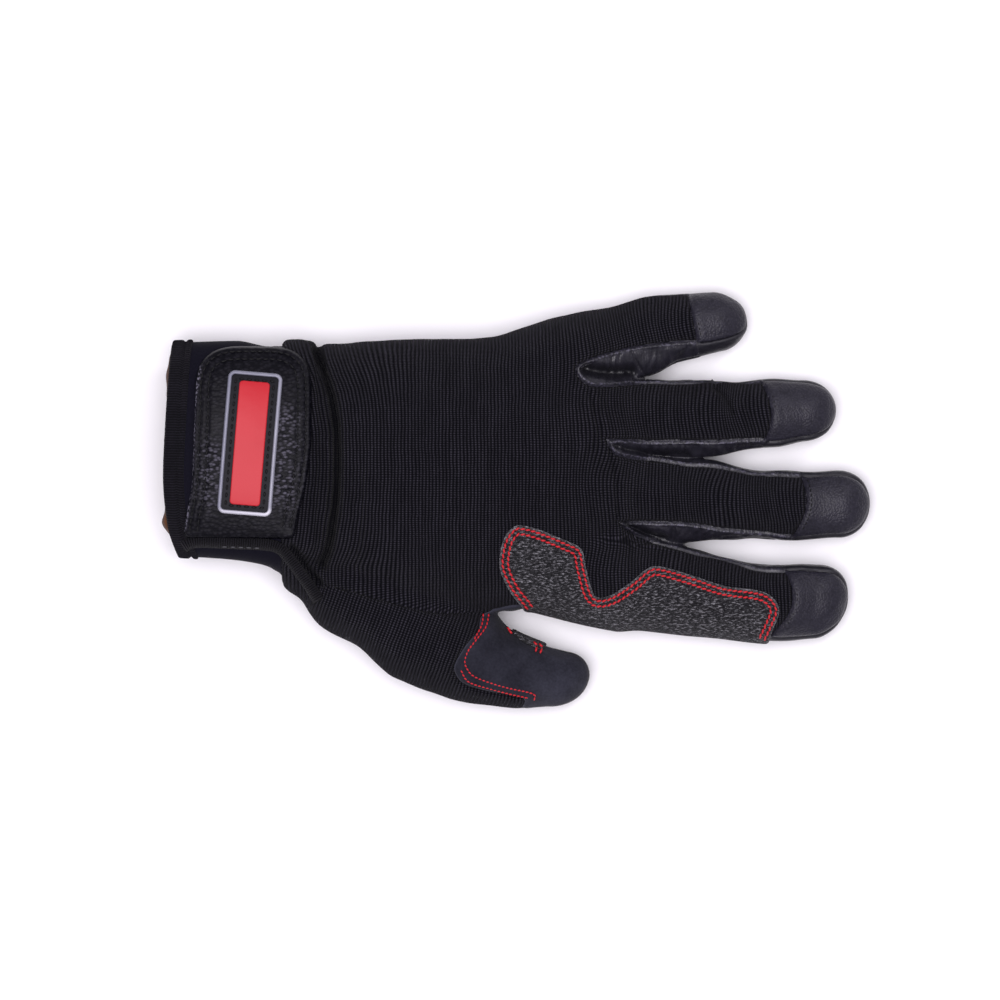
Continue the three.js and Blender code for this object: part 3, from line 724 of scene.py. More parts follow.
class Finish:
    """One material. What is the same all over is set on its shader, and node() adds what varies."""

    def __init__(self, name, **fixed):
        self.material = bpy.data.materials.new(name)
        self.material.use_nodes = True
        self.tree = self.material.node_tree
        self.shader = self.tree.nodes["Principled BSDF"]
        for socket, value in fixed.items():
            self.shader.inputs[socket.replace("_", " ")].default_value = value
        self.place = self.node("TexCoord", output="Object")

    def node(self, kind, settings=None, sockets=None, output=0):
        made = self.tree.nodes.new("ShaderNode" + kind)
        for name, value in (settings or {}).items():
            setattr(made, name, value)
        for name, value in (sockets or {}).items():
            self.join(value, made.inputs[name])
        return Wire(self, made.outputs[output])

    def join(self, value, socket):
        if isinstance(value, Wire):
            self.tree.links.new(value.socket, socket)
        else:
            socket.default_value = value

    def number(self, name):
        """A number that the mesh carries at each point."""
        return self.node("Attribute", {"attribute_name": name}, output="Fac")

    def stretched(self, x, y, z):
        """The place, with grain of these lengths in mm made one unit long."""
        scale = [1 / (MM * length) for length in (x, y, z)]
        return self.node("Mapping", sockets={"Vector": self.place, "Scale": scale})

    def noise(self, size, detail=2.0, rough=0.5, place=None):
        """Cloudy noise from 0 to 1, whose clouds are about this many mm across."""
        sockets = {"Vector": place or self.place, "Scale": 1.0 if place else 1 / (MM * size),
                   "Detail": detail, "Roughness": rough}
        return self.node("TexNoise", {}, sockets)

    def pebbles(self, size, place=None, smooth=0.35):
        """0 in the middle of each grain of leather, about 1 in the furrows round it."""
        sockets = {"Vector": place or self.place, "Scale": 1.0 if place else 1 / (MM * size),
                   "Smoothness": smooth, "Randomness": 0.9}
        return self.node("TexVoronoi", {"feature": "SMOOTH_F1"}, sockets, "Distance")

    def paint(self, dark, light, share):
        """The base colour, from dark to light."""
        sockets = {0: share, 6: (*dark, 1), 7: (*light, 1)}
        self.join(self.node("Mix", {"data_type": "RGBA"}, sockets, 2), self.shader.inputs["Base Color"])

    def emboss(self, height, depth):
        """Relief whose height of 1 stands this many mm high."""
        bump = self.node("Bump", {}, {"Strength": 1.0, "Distance": depth * MM, "Height": height})
        self.join(bump, self.shader.inputs["Normal"])


def add_piece(name, mesh, finish, slot, node, wall=0.0, **numbers):
    """Makes a piece from points in mm and faces. Its wall, if any, is laid on inwards. Points that lie
    on each other become one, which closes poles and edges. Its numbers are one value for each point."""
    points, faces = mesh
    data = bpy.data.meshes.new(name)
    data.from_pydata(points * MM + CORNER, [], faces.tolist())
    for number, values in numbers.items():
        data.attributes.new(number, "FLOAT", "POINT").data.foreach_set("value", values.astype(np.float32))
    data.polygons.foreach_set("use_smooth", np.ones(len(faces), bool))
    data.materials.append(finish.material)
    data.update()
    welded = bmesh.new()
    welded.from_mesh(data)
    bmesh.ops.remove_doubles(welded, verts=welded.verts, dist=WELD * MM)
    welded.to_mesh(data)
    welded.free()
    piece = bpy.data.objects.new(name, data)
    bpy.context.scene.collection.objects.link(piece)
    if wall:
        thick = piece.modifiers.new("wall", "SOLIDIFY")
        thick.thickness, thick.offset = wall * MM, -1
    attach(piece, "root")
    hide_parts(node)
    return piece


# The knit back and the knit round the thumb's root. A double-knit with fine ribs across the hand, and
# square to each finger. The ribs follow the cloth, so each point carries how far along the ribs' march
# it is, and how far across.
RIB_PITCH = 1.2
LOOP_PITCH = 0.84
FINGERS_PART = (128, 168)


def knit_numbers(points):
    """How many mm along and across the ribs each point is. On the hand it is x and y. Towards the roots
    it becomes the distance along the nearest fingers' axes, weighted by e^(-(across / 9)^2). Down a
    side, height counts as across."""
    x, y, z = points.T
    middle, _, centre, half_height = hand_section(x)
    over = smooth_step(x, *FINGERS_PART)
    weights, along, across = [], [], []
    for digit in FINGERS:
        at, side = on_digit(digit, x, y)
        weights.append(np.exp(-np.minimum((side / 9) ** 2, 60)) + 1e-12)
        along.append(at * digit["length"] + digit["root"][0] * HAND_LENGTH)
        stops, heights = np.array(digit["sections"])[:, [0, 3]].T
        down = np.maximum(digit["height"] * smooth_through(at, stops, heights) - FLATTEN - z, 0)
        across.append(side + down * np.tanh(side / 5) + digit["root"][1] * PALM_WIDTH)
    total = np.sum(weights, axis=0)
    rib, loop = [np.sum(np.multiply(weights, values), axis=0) / total for values in (along, across)]
    rib = (1 - over) * x + over * rib
    down = centre + half_height - z
    loop = (1 - over) * (y + down * np.tanh((y - middle) / 12)) + over * loop
    tuck = np.exp(-((x - RING_TUCK[1][0]) ** 2 + (y - RING_TUCK[1][1]) ** 2) / 90)
    rib = rib + 2.6 * tuck * np.tanh((x - RING_TUCK[1][0]) / 4) + 1.1 * over * lumps(x, y, 0 * x, 24, 7)
    valley = np.array(GATHER_VALLEY)[::-1]
    bend = smooth_through(np.clip(y, valley[0, 1], valley[-1, 1]), valley[:, 1], valley[:, 0]) - 60
    return rib - bend * (1 - smooth_step(x, 60, 90)), loop


def stands(points):
    """The knit is thicker than the cuff's cloth that it is sewn on, by a lip that sinks away as 1 / e
    per 4 mm."""
    return KNIT_STANDS * np.exp(-(points[:, 0] - CUFF_LENGTH) / 4)


def thumb_numbers(points):
    """The same two numbers for the knit round the thumb, along and across the thumb's own axis."""
    x, y, z = points.T
    at, side = on_digit(THUMB, x, y)
    down = np.maximum(THUMB["height"] - z, 0)
    return at * THUMB["length"], side + down * np.tanh(side / 8)


def knit(name):
    """Ribs of loops, uneven from rib to rib, with some fluff. The number "deep" paints shade into the
    folds.
    """
    finish = Finish(name, Roughness=0.9, Specular_IOR_Level=0.04, Sheen_Weight=0.03)
    along = finish.number("rib") + finish.noise(14) * 1.2 + finish.noise(2.5) * 0.3
    across = finish.number("loop") + finish.noise(3) * 0.7
    rib, loop = along.wave(RIB_PITCH), across.wave(LOOP_PITCH)
    height = (rib * 0.88 + 0.12) * (loop * 0.66 + 0.34) + finish.noise(0.5) * 0.2
    each = finish.node("CombineXYZ", sockets={"X": along * 0.55, "Y": across * 0.06})
    uneven = finish.noise(1, 3, 0.6, each) * 1.5 + finish.noise(5, 2) * 0.5 + finish.noise(22, 3) * 0.6
    fluff = finish.noise(0.7, 3).between(0.62, 0.74) * 0.16
    # Painted highlight and shade: the colour is lighter on the rib crests and darker between them, and deep
    # darkens it further as painted shade in the folds.
    share = (height * height * 0.78 - 0.02) * (uneven - 0.3) + fluff
    finish.paint((0.001, 0.001, 0.0021), (0.048, 0.045, 0.061), share * (1 - finish.number("deep")))
    finish.emboss(height, 0.8)
    return finish


back_ribs = knit("ribbed knit")
flat, mesh = dressed(panels["back_knit"], stands)
rib, loop = knit_numbers(flat)
# Painted shade: lines along which the number deep darkens the knit's colour, with how strongly and how
# wide.
SHADES = [(GATHER_VALLEY, 1.0, 1.7), (SLIT_GROOVE, 0.9, 1.2), (SLIT_EDGE, 0.5, 0.5),
          (GATHER_PUFF, 0.3, 3.0), (RING_TUCK, 0.5, 0.8), *[(line, 0.45, 0.7) for line in ROOT_CREASES]]
deep = np.max([depth * near_line(*flat.T[:2], drawn_through(line), width) for line, depth, width in SHADES],
              axis=0)
add_piece("knit_back", mesh, back_ribs, "back_knit", "back_knit", WALL, rib=rib, loop=loop, deep=deep)
flat, mesh = dressed(panels["thumb_knit"], stands)
rib, loop = thumb_numbers(flat)
add_piece("knit_thumb", mesh, back_ribs, "back_knit", "thumb_knit", WALL, rib=rib, loop=loop)


# The palm leather. One hide makes the palm and the fronts of the fingers, and rolls up over every
# fingertip, where it is sewn to the cap. Goat, dyed black, with a fine even grain.
def leather(name, grain, depth, dark, light, **fixed):
    """Pebbled leather with grains this many mm across, whose furrows are darker than their crests."""
    finish = Finish(name, **{"Roughness": 0.5, "Specular_IOR_Level": 0.35, **fixed})
    pebbles = finish.pebbles(grain)
    height = (1 - pebbles) * 0.8 + finish.noise(grain * 4, 3) * 0.5 + finish.noise(grain * 0.3) * 0.12
    finish.paint(dark, light, height * 0.6 + finish.noise(18, 3) * 0.3)
    finish.emboss(height, depth)
    roughness = finish.noise(10, 3) * 0.2 + (fixed.get("Roughness", 0.5) - 0.1)
    finish.join(roughness, finish.shader.inputs["Roughness"])
    return finish


palm_hide = leather("palm leather", 0.8, 0.08, (0.005, 0.005, 0.0065), (0.019, 0.018, 0.025),
                    Roughness=0.42)
_, mesh = dressed(panels["palm_leather"])
add_piece("leather_palm", mesh, palm_hide, "palm_leather", "palm_leather", WALL)


# The side strips between the fingers. Thin soft leather, gathered a little as it is sewn in, so that it
# creases square to the finger.
RIM_PLACE = 0.9

# Lines in the plan with a depth and a width: the pockets by the crotches, and the joins across a strip.
STRIP_POCKETS = [
    ([(147, 38.2), (151, 37.4), (157, 37), (163, 37.4)], 4.0, 2.2),
    ([(163, 44.5), (164.4, 41.5), (166, 39), (168.4, 36)], 0.7, 0.45),
    ([(157.5, 11.4), (163, 9.8), (173, 9.0), (183, 8.4)], 1.8, 1.0),
    ([(161, -15.8), (166.3, -18.6), (175, -21.6)], 2.4, 1.3),
    ([(177.6, -14.6), (178.2, -18), (178.6, -22)], 0.7, 0.45),
]


def strip_edge_distance(points):
    """How far the nearest seam of a side strip is."""
    return np.min([skin_distance(points, seam) for seam in strip_seams], axis=0)


def creased(points):
    """Short creases across a strip, by how far along it is, uneven in depth and spacing, and a rolled
    rim along its seam. They fade where the strip stands upright or goes over to the fingertip."""
    x, y, z = points.T
    near = strip_edge_distance(points)
    tips = np.max([past_cap(digit, x, y) for digit in FINGERS], axis=0)
    flat = smooth_step(normals(points)[:, 2], 0.1, 0.5) * smooth_step(-tips, 0, 5)
    wave = np.sin(2 * math.pi * (x + 1.5 * lumps(x, y, z, 12, 5)) / 3.4)
    lift = 0.22 * wave * (0.5 + 0.7 * lumps(x, y, z, 9, 6)) + 0.3 * lumps(x, y, z, 7, 8)
    rim = 0.4 * np.exp(-((near - RIM_PLACE) / 0.55) ** 2)
    return (lift * smooth_step(near, 0.8, 2.5) + rim) * flat


def pocketed(points):
    """How far each point of a strip sinks at its pockets and joins, away from its seams and clear of
    the palm."""
    x, y, z = points.T
    near = strip_edge_distance(points)
    sink = -sum(crease(x, y, drawn_through(line), depth, width) for line, depth, width in STRIP_POCKETS)
    return sink * smooth_step(near, 0.6, 2.0) * smooth_step(z, 13, 19)


strip_hide = Finish("strip leather", Roughness=0.36, Specular_IOR_Level=0.42)
# Painted glints in spots along the rolled rim, and painted shade in the pockets by the number deep.
rim_glints = strip_hide.noise(0.9, 2).between(0.48, 0.66)
wrinkles = strip_hide.noise(1, 3, 0.55, strip_hide.stretched(1.3, 6, 6))
share = wrinkles * 0.26 + strip_hide.number("rim") * rim_glints * 0.75
strip_hide.paint((0.003, 0.003, 0.0045), (0.085, 0.080, 0.115), share * (1 - strip_hide.number("deep")))
strip_hide.emboss(wrinkles * 0.7 + strip_hide.pebbles(0.8) * 0.12, 0.7)
for name in strips:
    flat, mesh = dressed(finer(panels[name]), creased)
    mesh[0][:, 2] -= pocketed(flat)
    rim = np.exp(-((strip_edge_distance(flat) - RIM_PLACE) / 0.45) ** 2)
    # The number deep is painted shade: it darkens the strip's colour in its pockets and joins.
    deep = np.max([min(0.25 * depth + 0.2, 0.85) * near_line(*flat.T[:2], drawn_through(line), width)
                   for line, depth, width in STRIP_POCKETS], axis=0)
    add_piece(name.replace("fourchette", "strip"), mesh, strip_hide, "side_leather", name, WALL,
              rim=rim, deep=deep)


# The fingertip caps. Pebbled leather, sewn along its knit edge and round its sides.
cap_hide = leather("cap leather", 0.75, 0.2, (0.002, 0.0019, 0.003), (0.025, 0.0235, 0.036), Roughness=0.42,
                   Specular_IOR_Level=0.24)
for name in ("cap_little", "cap_ring", "cap_middle", "cap_index"):
    _, mesh = dressed(panels[name])
    add_piece(name.replace("cap", "tip"), mesh, cap_hide, "cap_leather", name, WALL)


# The suede wrap over the thumb. Split hide with its nap up, so it is matte, mottled, and lighter where
# it is brushed.
suede = Finish("thumb suede", Roughness=0.95, Specular_IOR_Level=0.05, Sheen_Weight=0.06)
mottle = suede.noise(9, 4, 0.6).between(0.25, 0.8) * 0.4 + suede.noise(0.9, 3) * 0.5 + 0.05
share = mottle * (0.75 + suede.number("worn")) + suede.number("edge")
suede.paint((0.004, 0.0042, 0.0065), (0.040, 0.0405, 0.056), share)
suede.emboss(suede.noise(0.6, 4, 0.7), 0.16)
flat, mesh = dressed(panels["thumb_suede"])
edge = near_line(*flat.T[:2], closed_line(suede_outline), 0.35)
# The colour is lighter towards the thumb's tip, by this number.
worn = 0.45 * np.exp(-((on_digit(THUMB, *flat.T[:2])[0] - 0.93) / 0.12) ** 2)
add_piece("suede_thumb", mesh, suede, "suede", "thumb_suede", WALL, edge=edge, worn=worn)


# The guards. Heathered cut-proof cloth sewn on top of the knit: a long one down the index finger's
# side, and a small one in the thumb's crotch. Two rows of red thread run along their edges, and round
# the thumb's suede.
GAP = 0.3
GUARD_THICKNESS = 1.1
CROTCH_THICKNESS = 0.6
GUARD_LOW = 7
GUARD_STEP = 0.5
GUARD_OUTLINE = [
    (-0.31, -0.33), (-0.362, -0.16), (-0.408, 0.09), (-0.413, 0.30), (-0.399, 0.49), (-0.366, 0.618),
    (-0.331, 0.64), (-0.265, 0.607), (-0.156, 0.503), (-0.088, 0.41), (-0.064, 0.19), (-0.03, -0.088),
    (-0.003, -0.146), (0.048, -0.097), (0.123, 0.075), (0.172, 0.216), (0.223, 0.278), (0.355, 0.204),
    (0.489, 0.103), (0.62, 0.08), (0.675, 0.039), (0.712, -0.056), (0.724, -0.183), (0.703, -0.394),
]
GUARD_BELOW = [(0.681, -0.8), (-0.024, -0.757), (-0.148, -0.64), (-0.272, -0.5)]
CROTCH_GUARD_OUTLINE = [(0.705, 0.30), (0.712, 0.19), (0.745, 0.135), (0.79, 0.115), (0.823, 0.118),
                        (0.835, 0.2), (0.835, 0.36), (0.72, 0.40)]
GUARD_START, GUARD_END = (-0.295, -0.395), (0.684, -0.55)
STITCH_ROWS = (1.25, 3.1)
STITCH_PITCH = 1.85
THREAD = 0.68
CAP_ROW = 1.6
WAY_REACH = 0.8


def guard(outline, low, high, step, thickness, thumb=True):
    """A closed sheet over the skin, between two of its levels, inside an outline and above a height."""
    def form(x, y, z):
        """How far outside the sheet a place is. Over a grid the outline is worked out once for each
        column."""
        flat = (x[..., 0], y[..., 0]) if x.ndim == 3 else (x, y)
        edge = -within(*flat, outline)
        edge = edge[..., None] if x.ndim == 3 else edge
        skin = glove_form(x, y, z, thumb)
        sheet = smooth_most(skin - GAP - thickness, edge, 1.2)
        return smooth_most(smooth_most(sheet, GUARD_LOW - z, 0.8), 0.1 - skin, 0.2)
    points, faces = surface(form, low, high, step)
    return to_level(points, form=form, rounds=3, most=0.3), faces


def even_steps(line, step, closed=False):
    """Places at even steps along a line of many short sides, and its direction at each."""
    if closed:
        line = closed_line(line)
    run = np.concatenate([[0], np.cumsum(np.hypot(*np.diff(line, axis=0).T))])
    count = max(int(run[-1] / step), 2)
    at = (np.arange(count) + 0.5) * run[-1] / count
    place, ahead, behind = [np.stack([np.interp(at + further, run, column) for column in line.T], axis=1)
                            for further in (0, WAY_REACH, -WAY_REACH)]
    way = ahead - behind
    return place, way / np.maximum(np.hypot(*way.T), 1e-9)[:, None]


def moved_in(line, distance, step=1.0):
    """A line moved to the right of its own direction."""
    place, way = even_steps(line, step)
    return place + distance * np.stack([way[:, 1], -way[:, 0]], axis=1)


def stitches(line, level, pitch=STITCH_PITCH, fill=1.04, thread=THREAD, lean=0.0, twist=3.2,
             rings=9, sides=8):
    """A row of stitches on the skin. Each is a thread whose radius follows the root of 1 - u^6 from end
    to end and swells twice round as its plies turn, and which arches by 1 - u^2 between the holes that
    it dives into."""
    place, way = even_steps(line, pitch)
    way = np.stack(turned_by(lean, *way.T), axis=1)
    u = np.linspace(-1, 1, rings)
    spine = place[:, None] + way[:, None] * (u * pitch * fill / 2)[None, :, None]
    arch = level + thread * (0.45 - 0.6 * u ** 2)
    height = height_at(spine[..., 0], spine[..., 1], arch)
    spine = np.concatenate([spine, height[..., None]], axis=-1)
    up = normals(spine[:, rings // 2])
    ahead = spine[:, -1] - spine[:, 0]
    ahead /= np.linalg.norm(ahead, axis=1, keepdims=True)
    side = np.cross(up, ahead)
    angle = np.linspace(0, 2 * math.pi, sides, endpoint=False)
    plies = 1 + 0.2 * np.cos(2 * (angle[None, :] - twist * u[:, None]))
    radius = thread / 2 * np.sqrt(np.maximum(1 - u ** 6, 0))[:, None] * plies
    points = (spine[:, :, None] + (radius * np.cos(angle))[None, :, :, None] * side[:, None, None]
              + (radius * np.sin(angle))[None, :, :, None] * up[:, None, None])
    one = grid_faces(rings, sides, around=True)
    faces = one[None] + (np.arange(len(place)) * rings * sides)[:, None, None]
    return points.reshape(-1, 3), faces.reshape(-1, 4)


def grid_faces(rows, columns, around=False):
    """Four-sided faces over rows of points, which may close on themselves."""
    i, j = np.meshgrid(np.arange(rows - 1), np.arange(columns - (not around)), indexing="ij")
    a, b = i * columns + j, i * columns + (j + 1) % columns
    return np.stack([a, a + columns, b + columns, b], axis=-1).reshape(-1, 4)


def together(*meshes):
    """Several meshes of the same kind as one."""
    starts = np.cumsum([0, *[len(points) for points, _ in meshes[:-1]]])
    return (np.concatenate([points for points, _ in meshes]),
            np.concatenate([faces + start for (_, faces), start in zip(meshes, starts)]))


heather = Finish("heathered cloth", Roughness=0.9, Specular_IOR_Level=0.08, Sheen_Weight=0.05)
flecks = heather.noise(1, 4, 0.7, heather.stretched(1.4, 0.5, 0.5)).between(0.5, 0.68)
fuzz = heather.noise(0.6, 3, 0.7).between(0.3, 0.75)
fray = heather.number("fray") * heather.noise(0.7, 3).between(0.4, 0.65) * 0.45
heather.paint((0.003, 0.003, 0.004), (0.6, 0.59, 0.64), flecks * 0.46 + fuzz * 0.04 + fray)
heather.emboss(flecks * 0.5 + fuzz, 0.35)
black_thread = Finish("black thread", Roughness=0.6, Specular_IOR_Level=0.2)
black_thread.paint((0.002, 0.002, 0.0025), (0.009, 0.009, 0.0105), black_thread.noise(0.4))
red_thread = Finish("red thread", Base_Color=(0.5, 0.012, 0.02, 1), Roughness=0.55, Specular_IOR_Level=0.3)
red_thread.paint((0.36, 0.008, 0.014), (0.62, 0.016, 0.026), red_thread.noise(0.4))
red_thread.emboss(red_thread.noise(0.25), 0.05)

guard_line = drawn_through(digit_plan(INDEX, GUARD_OUTLINE))
index_outline = np.concatenate([guard_line, digit_plan(INDEX, GUARD_BELOW)])
crotch_outline = drawn_round(digit_plan(THUMB, CROTCH_GUARD_OUTLINE), 4)
mesh = guard(index_outline, (114, -62, 5), (218, -13, 38), GUARD_STEP, GUARD_THICKNESS, thumb=False)
fray = near_line(*mesh[0].T[:2], index_outline, 0.5)
add_piece("cloth_guard_index", mesh, heather, "guard_fabric", "guard_index", fray=fray)
mesh = guard(crotch_outline, (116, -67, 5), (137, -43, 28), 0.35, CROTCH_THICKNESS)
add_piece("cloth_guard_crotch", mesh, heather, "guard_fabric", "guard_crotch")

SUEDE_INNER = [(113.4, -47.3), (112.4, -51.8), (109.6, -55.7), (106.4, -59.9), (105, -63.7), (105.7, -66.5),
               (108.2, -69.3), (114.5, -71.8), (120.4, -73.5), (127.6, -75.1), (129.5, -76.3), (129, -77.9)]
SUEDE_OUTER = [(111.5, -47.3), (110.8, -51.5), (108.2, -56.4)]
SUEDE_LOWER = [(103.6, -67), (105.4, -70.4), (108.2, -72.1), (114.5, -73.9), (120.4, -75.5), (127.1, -77)]
CROTCH_ROWS = [[(120, -52.3), (121.2, -54.3)], [(129, -57), (130.2, -58.9), (129.4, -60.8)],
               [(130.9, -57.7), (132, -59.5), (131, -61.3)]]
on_guard = GAP + GUARD_THICKNESS
sewn = drawn_through(digit_plan(INDEX, [GUARD_START, *GUARD_OUTLINE, GUARD_END]))
guard_rows = [stitches(moved_in(sewn, row), on_guard, lean=16) for row in STITCH_ROWS]
crotch_rows = [stitches(drawn_through(row), GAP + CROTCH_THICKNESS, lean=10) for row in CROTCH_ROWS]
suede_rows = [stitches(drawn_through(row), 0.1, 1.4, 0.95, 0.52, 10, rings=7, sides=6)
              for row in (SUEDE_INNER, SUEDE_OUTER, SUEDE_LOWER)]
add_piece("stitches_guard_index", together(*guard_rows), red_thread, "red_thread", "guard_index")
add_piece("stitches_guard_crotch", together(*crotch_rows), red_thread, "red_thread", "guard_crotch")
add_piece("stitches_thumb", together(*suede_rows), red_thread, "red_thread", "thumb_suede")
for name, digit in zip(("little", "ring", "middle", "index"), FINGERS):
    row = cap_line(digit, CAP_ROW / digit["length"], 0.36)
    row = row[over_cap_side(digit, *on_skin(row).T) > 1]
    mesh = stitches(row, -0.1, 1.7, 0.7, 0.42, rings=6, sides=6)
    add_piece("stitches_tip_" + name, mesh, black_thread, "black_thread", "cap_" + name)


# The cuff. Smooth stretch cloth, bound round its mouth with ribbed tape folded over the edge and sewn
# through, and lined with brown suede that shows past the edge at the heel of the hand.
BINDING_OUT = 0.85
BINDING_IN = -1.7
BINDING_GROOVE = 4.7
LINING_DEPTH = 24
LINING_SHOWS = -0.1
LINING_LEVEL = -2.4
LINING_THICKNESS = 1.0
LOOSE_LINING = [(-18, 4.2, 2.2), (39, 6, 1.1)]
TAPE_RIB = 0.9
MOUTH_STEP = 0.3
LINING_STEP = 0.8


def round_mouth(section, step):
    """A band round the cuff's mouth. Its section is a closed line of how far in from the edge and at
    which level each of its points is, and it goes round the hand's own section at even steps. Gives the
    points and the run of each round."""
    angle = np.linspace(0, 2 * math.pi, 3000)
    bend = 2 / HAND_SQUARENESS
    across, up = [np.sign(f(angle)) * np.abs(f(angle)) ** bend for f in (np.cos, np.sin)]
    middle, half_width, centre, half_height = hand_section(CUFF_LENGTH / 4)
    sides = np.hypot(np.diff(across) * half_width, np.diff(up) * half_height)
    run = np.concatenate([[0], np.cumsum(sides)])
    count = int(run[-1] / step)
    at = np.arange(count) * run[-1] / count
    across, up = np.interp(at, run, across), np.interp(at, run, up)
    reach, level = section(middle + half_width * across, at)
    x = cuff_edge(middle + half_width * across)[:, None] + reach
    middle, half_width, centre, half_height = hand_section(x)
    points = np.stack([x, middle + (half_width + level) * across[:, None],
                       centre + (half_height + level) * up[:, None]], axis=-1)
    rows, columns = reach.shape
    faces = grid_faces(rows + 1, columns, around=True) % (rows * columns)
    return (points.reshape(-1, 3), faces), np.repeat(at, columns)


def domed(distance, thickness, radius):
    """Rises from nothing at an edge to the thickness at the radius, as a quarter circle does."""
    t = np.clip(distance / radius, 0, 1)
    return thickness * np.sqrt(1 - (1 - t) ** 2)


def binding_section(y, at):
    """The tape is folded over the edge, ribbed on its outer side and pulled in by its row of
    stitches."""
    over = np.linspace(0, BINDING_WIDTH, 26)
    under = np.linspace(BINDING_WIDTH, 0, 8)[1:-1]
    reach = np.concatenate([over, under])
    middle = (BINDING_OUT + BINDING_IN) / 2
    edge = np.minimum(reach, BINDING_WIDTH - reach)
    rib = 0.5 + 0.5 * np.cos(2 * math.pi * at / TAPE_RIB)
    top = middle + domed(edge, BINDING_OUT - middle, 0.9)
    top = top - 0.75 * np.exp(-((reach - BINDING_GROOVE) / 0.6) ** 2) * domed(edge, 1, 0.9)
    outer = top[None] - 0.22 * (1 - rib[:, None]) * domed(edge, 1, 0.5)[None]
    inner = middle - domed(edge, middle - BINDING_IN, 0.9)
    level = np.where(np.arange(len(reach)) < len(over), outer, inner[None])
    return np.broadcast_to(reach, level.shape), level


def lining_section(y, at):
    """The lining is a sheet inside the tape, which comes loose and shows past the edge at two
    places."""
    out = LINING_SHOWS + sum(much * np.exp(-((y - middle) / wide) ** 2)
                             for middle, wide, much in LOOSE_LINING)
    out = out + 0.15 * np.sin(at / 3.1) + 0.1 * np.sin(at / 1.3)
    share = np.concatenate([np.linspace(0, 1, 16), np.linspace(1, 0, 16)[1:-1]])
    reach = -out[:, None] + share * (LINING_DEPTH + out[:, None])
    edge = np.minimum(reach + out[:, None], LINING_DEPTH - reach)
    half = domed(edge, LINING_THICKNESS / 2, 0.5) * np.where(np.arange(len(share)) < 16, 1, -1)
    return reach, LINING_LEVEL + half


def tape_finish(name):
    """Dull woven tape, lighter on its ribs as painted highlight."""
    finish = Finish(name, Roughness=0.85, Specular_IOR_Level=0.08, Sheen_Weight=0.03)
    fluff = finish.noise(0.5, 3, 0.6)
    share = finish.number("rib") * fluff * (finish.noise(7, 3) * 1.2 + 0.3)
    finish.paint((0.0005, 0.0004, 0.0009), (0.023, 0.021, 0.03), share)
    finish.emboss(fluff + finish.number("rib"), 0.25)
    return finish


cuff_cloth = Finish("cuff cloth", Roughness=0.8, Specular_IOR_Level=0.05, Sheen_Weight=0.01)
weave = cuff_cloth.noise(0.7, 3, 0.6)
cuff_cloth.paint((0.0022, 0.0021, 0.0045), (0.0075, 0.007, 0.0135), weave)
cuff_cloth.emboss(weave, 0.08)
_, mesh = dressed(panels["cuff_fabric"])
add_piece("cloth_cuff", mesh, cuff_cloth, "cuff_fabric", "cuff_fabric", WALL)

ribbed_tape = tape_finish("ribbed tape")
mesh, run = round_mouth(binding_section, MOUTH_STEP)
rib = 0.5 + 0.5 * np.cos(2 * math.pi * run / TAPE_RIB)
add_piece("tape_mouth", mesh, ribbed_tape, "ribbed_tape", "cuff_binding", rib=rib)
nap = Finish("lining suede", Roughness=0.95, Specular_IOR_Level=0.1, Sheen_Weight=0.15)
brushed = nap.noise(2.5, 4, 0.65)
nap.paint((0.045, 0.018, 0.0075), (0.14, 0.058, 0.025), brushed)
nap.emboss(nap.noise(0.5, 3), 0.2)
mesh, _ = round_mouth(lining_section, LINING_STEP)
add_piece("suede_lining", mesh, nap, "lining_suede", "cuff_lining")


# The slit's tape. Ribbed tape folded over the edge of the slit, which the strap's foot goes under. It
# runs along the arm, then turns down into the gathers at the heel of the hand.
TAPE_LINE = [(6.4, -24.4), (9, -22.9), (13, -22.3), (24, -22.7), (36, -23.3), (41, -25), (44.6, -29),
             (48.2, -34), (51.4, -38.6), (54, -43)]
TAPE_WIDTH = 4.2
TAPE_THICKNESS = 2.6
SLIT_RIB = 0.8
SLIT_STEP = 0.2
LATH_POINTS = 13
TAPE_ROW = [(20, -24), (27, -24.2), (34, -24.5)]


def laid(x, y, base, rise):
    """The places that stand a rise over one of the skin's levels, and those at the level itself."""
    return [np.stack([x, y, height_at(x, y, base + lift)], axis=-1).reshape(-1, 3)
            for lift in (rise, 0 * rise)]


def lath(line, width, thickness, base, rib=0.0, pitch=1.0, step=0.3, closed=False):
    """A strip along a line, from its section: a half ellipse over the base level, with ribs across it.
    It is rounded off over its last millimetres, unless it closes on itself."""
    place, way = even_steps(line, step, closed)
    v = np.sin(np.linspace(-math.pi / 2, math.pi / 2, LATH_POINTS))
    run = np.arange(len(place)) * step
    ends = domed(np.minimum(run, run[::-1]) + closed * width, 1, width)
    aside = np.stack([-way[:, 1], way[:, 0]], axis=1)
    plan = place[:, None] + aside[:, None] * (v * width / 2)[None, :, None]
    rise = thickness * np.sqrt(1 - v ** 2)[None] * ends[:, None]
    rise = rise * (1 - rib / 2 + rib / 2 * np.cos(2 * math.pi * run / pitch))[:, None]
    top, under = laid(plan[..., 0], plan[..., 1], base, rise)
    faces = grid_faces(len(place) + closed, LATH_POINTS) % (len(place) * LATH_POINTS)
    return together((top, faces), (under, faces[:, ::-1]))


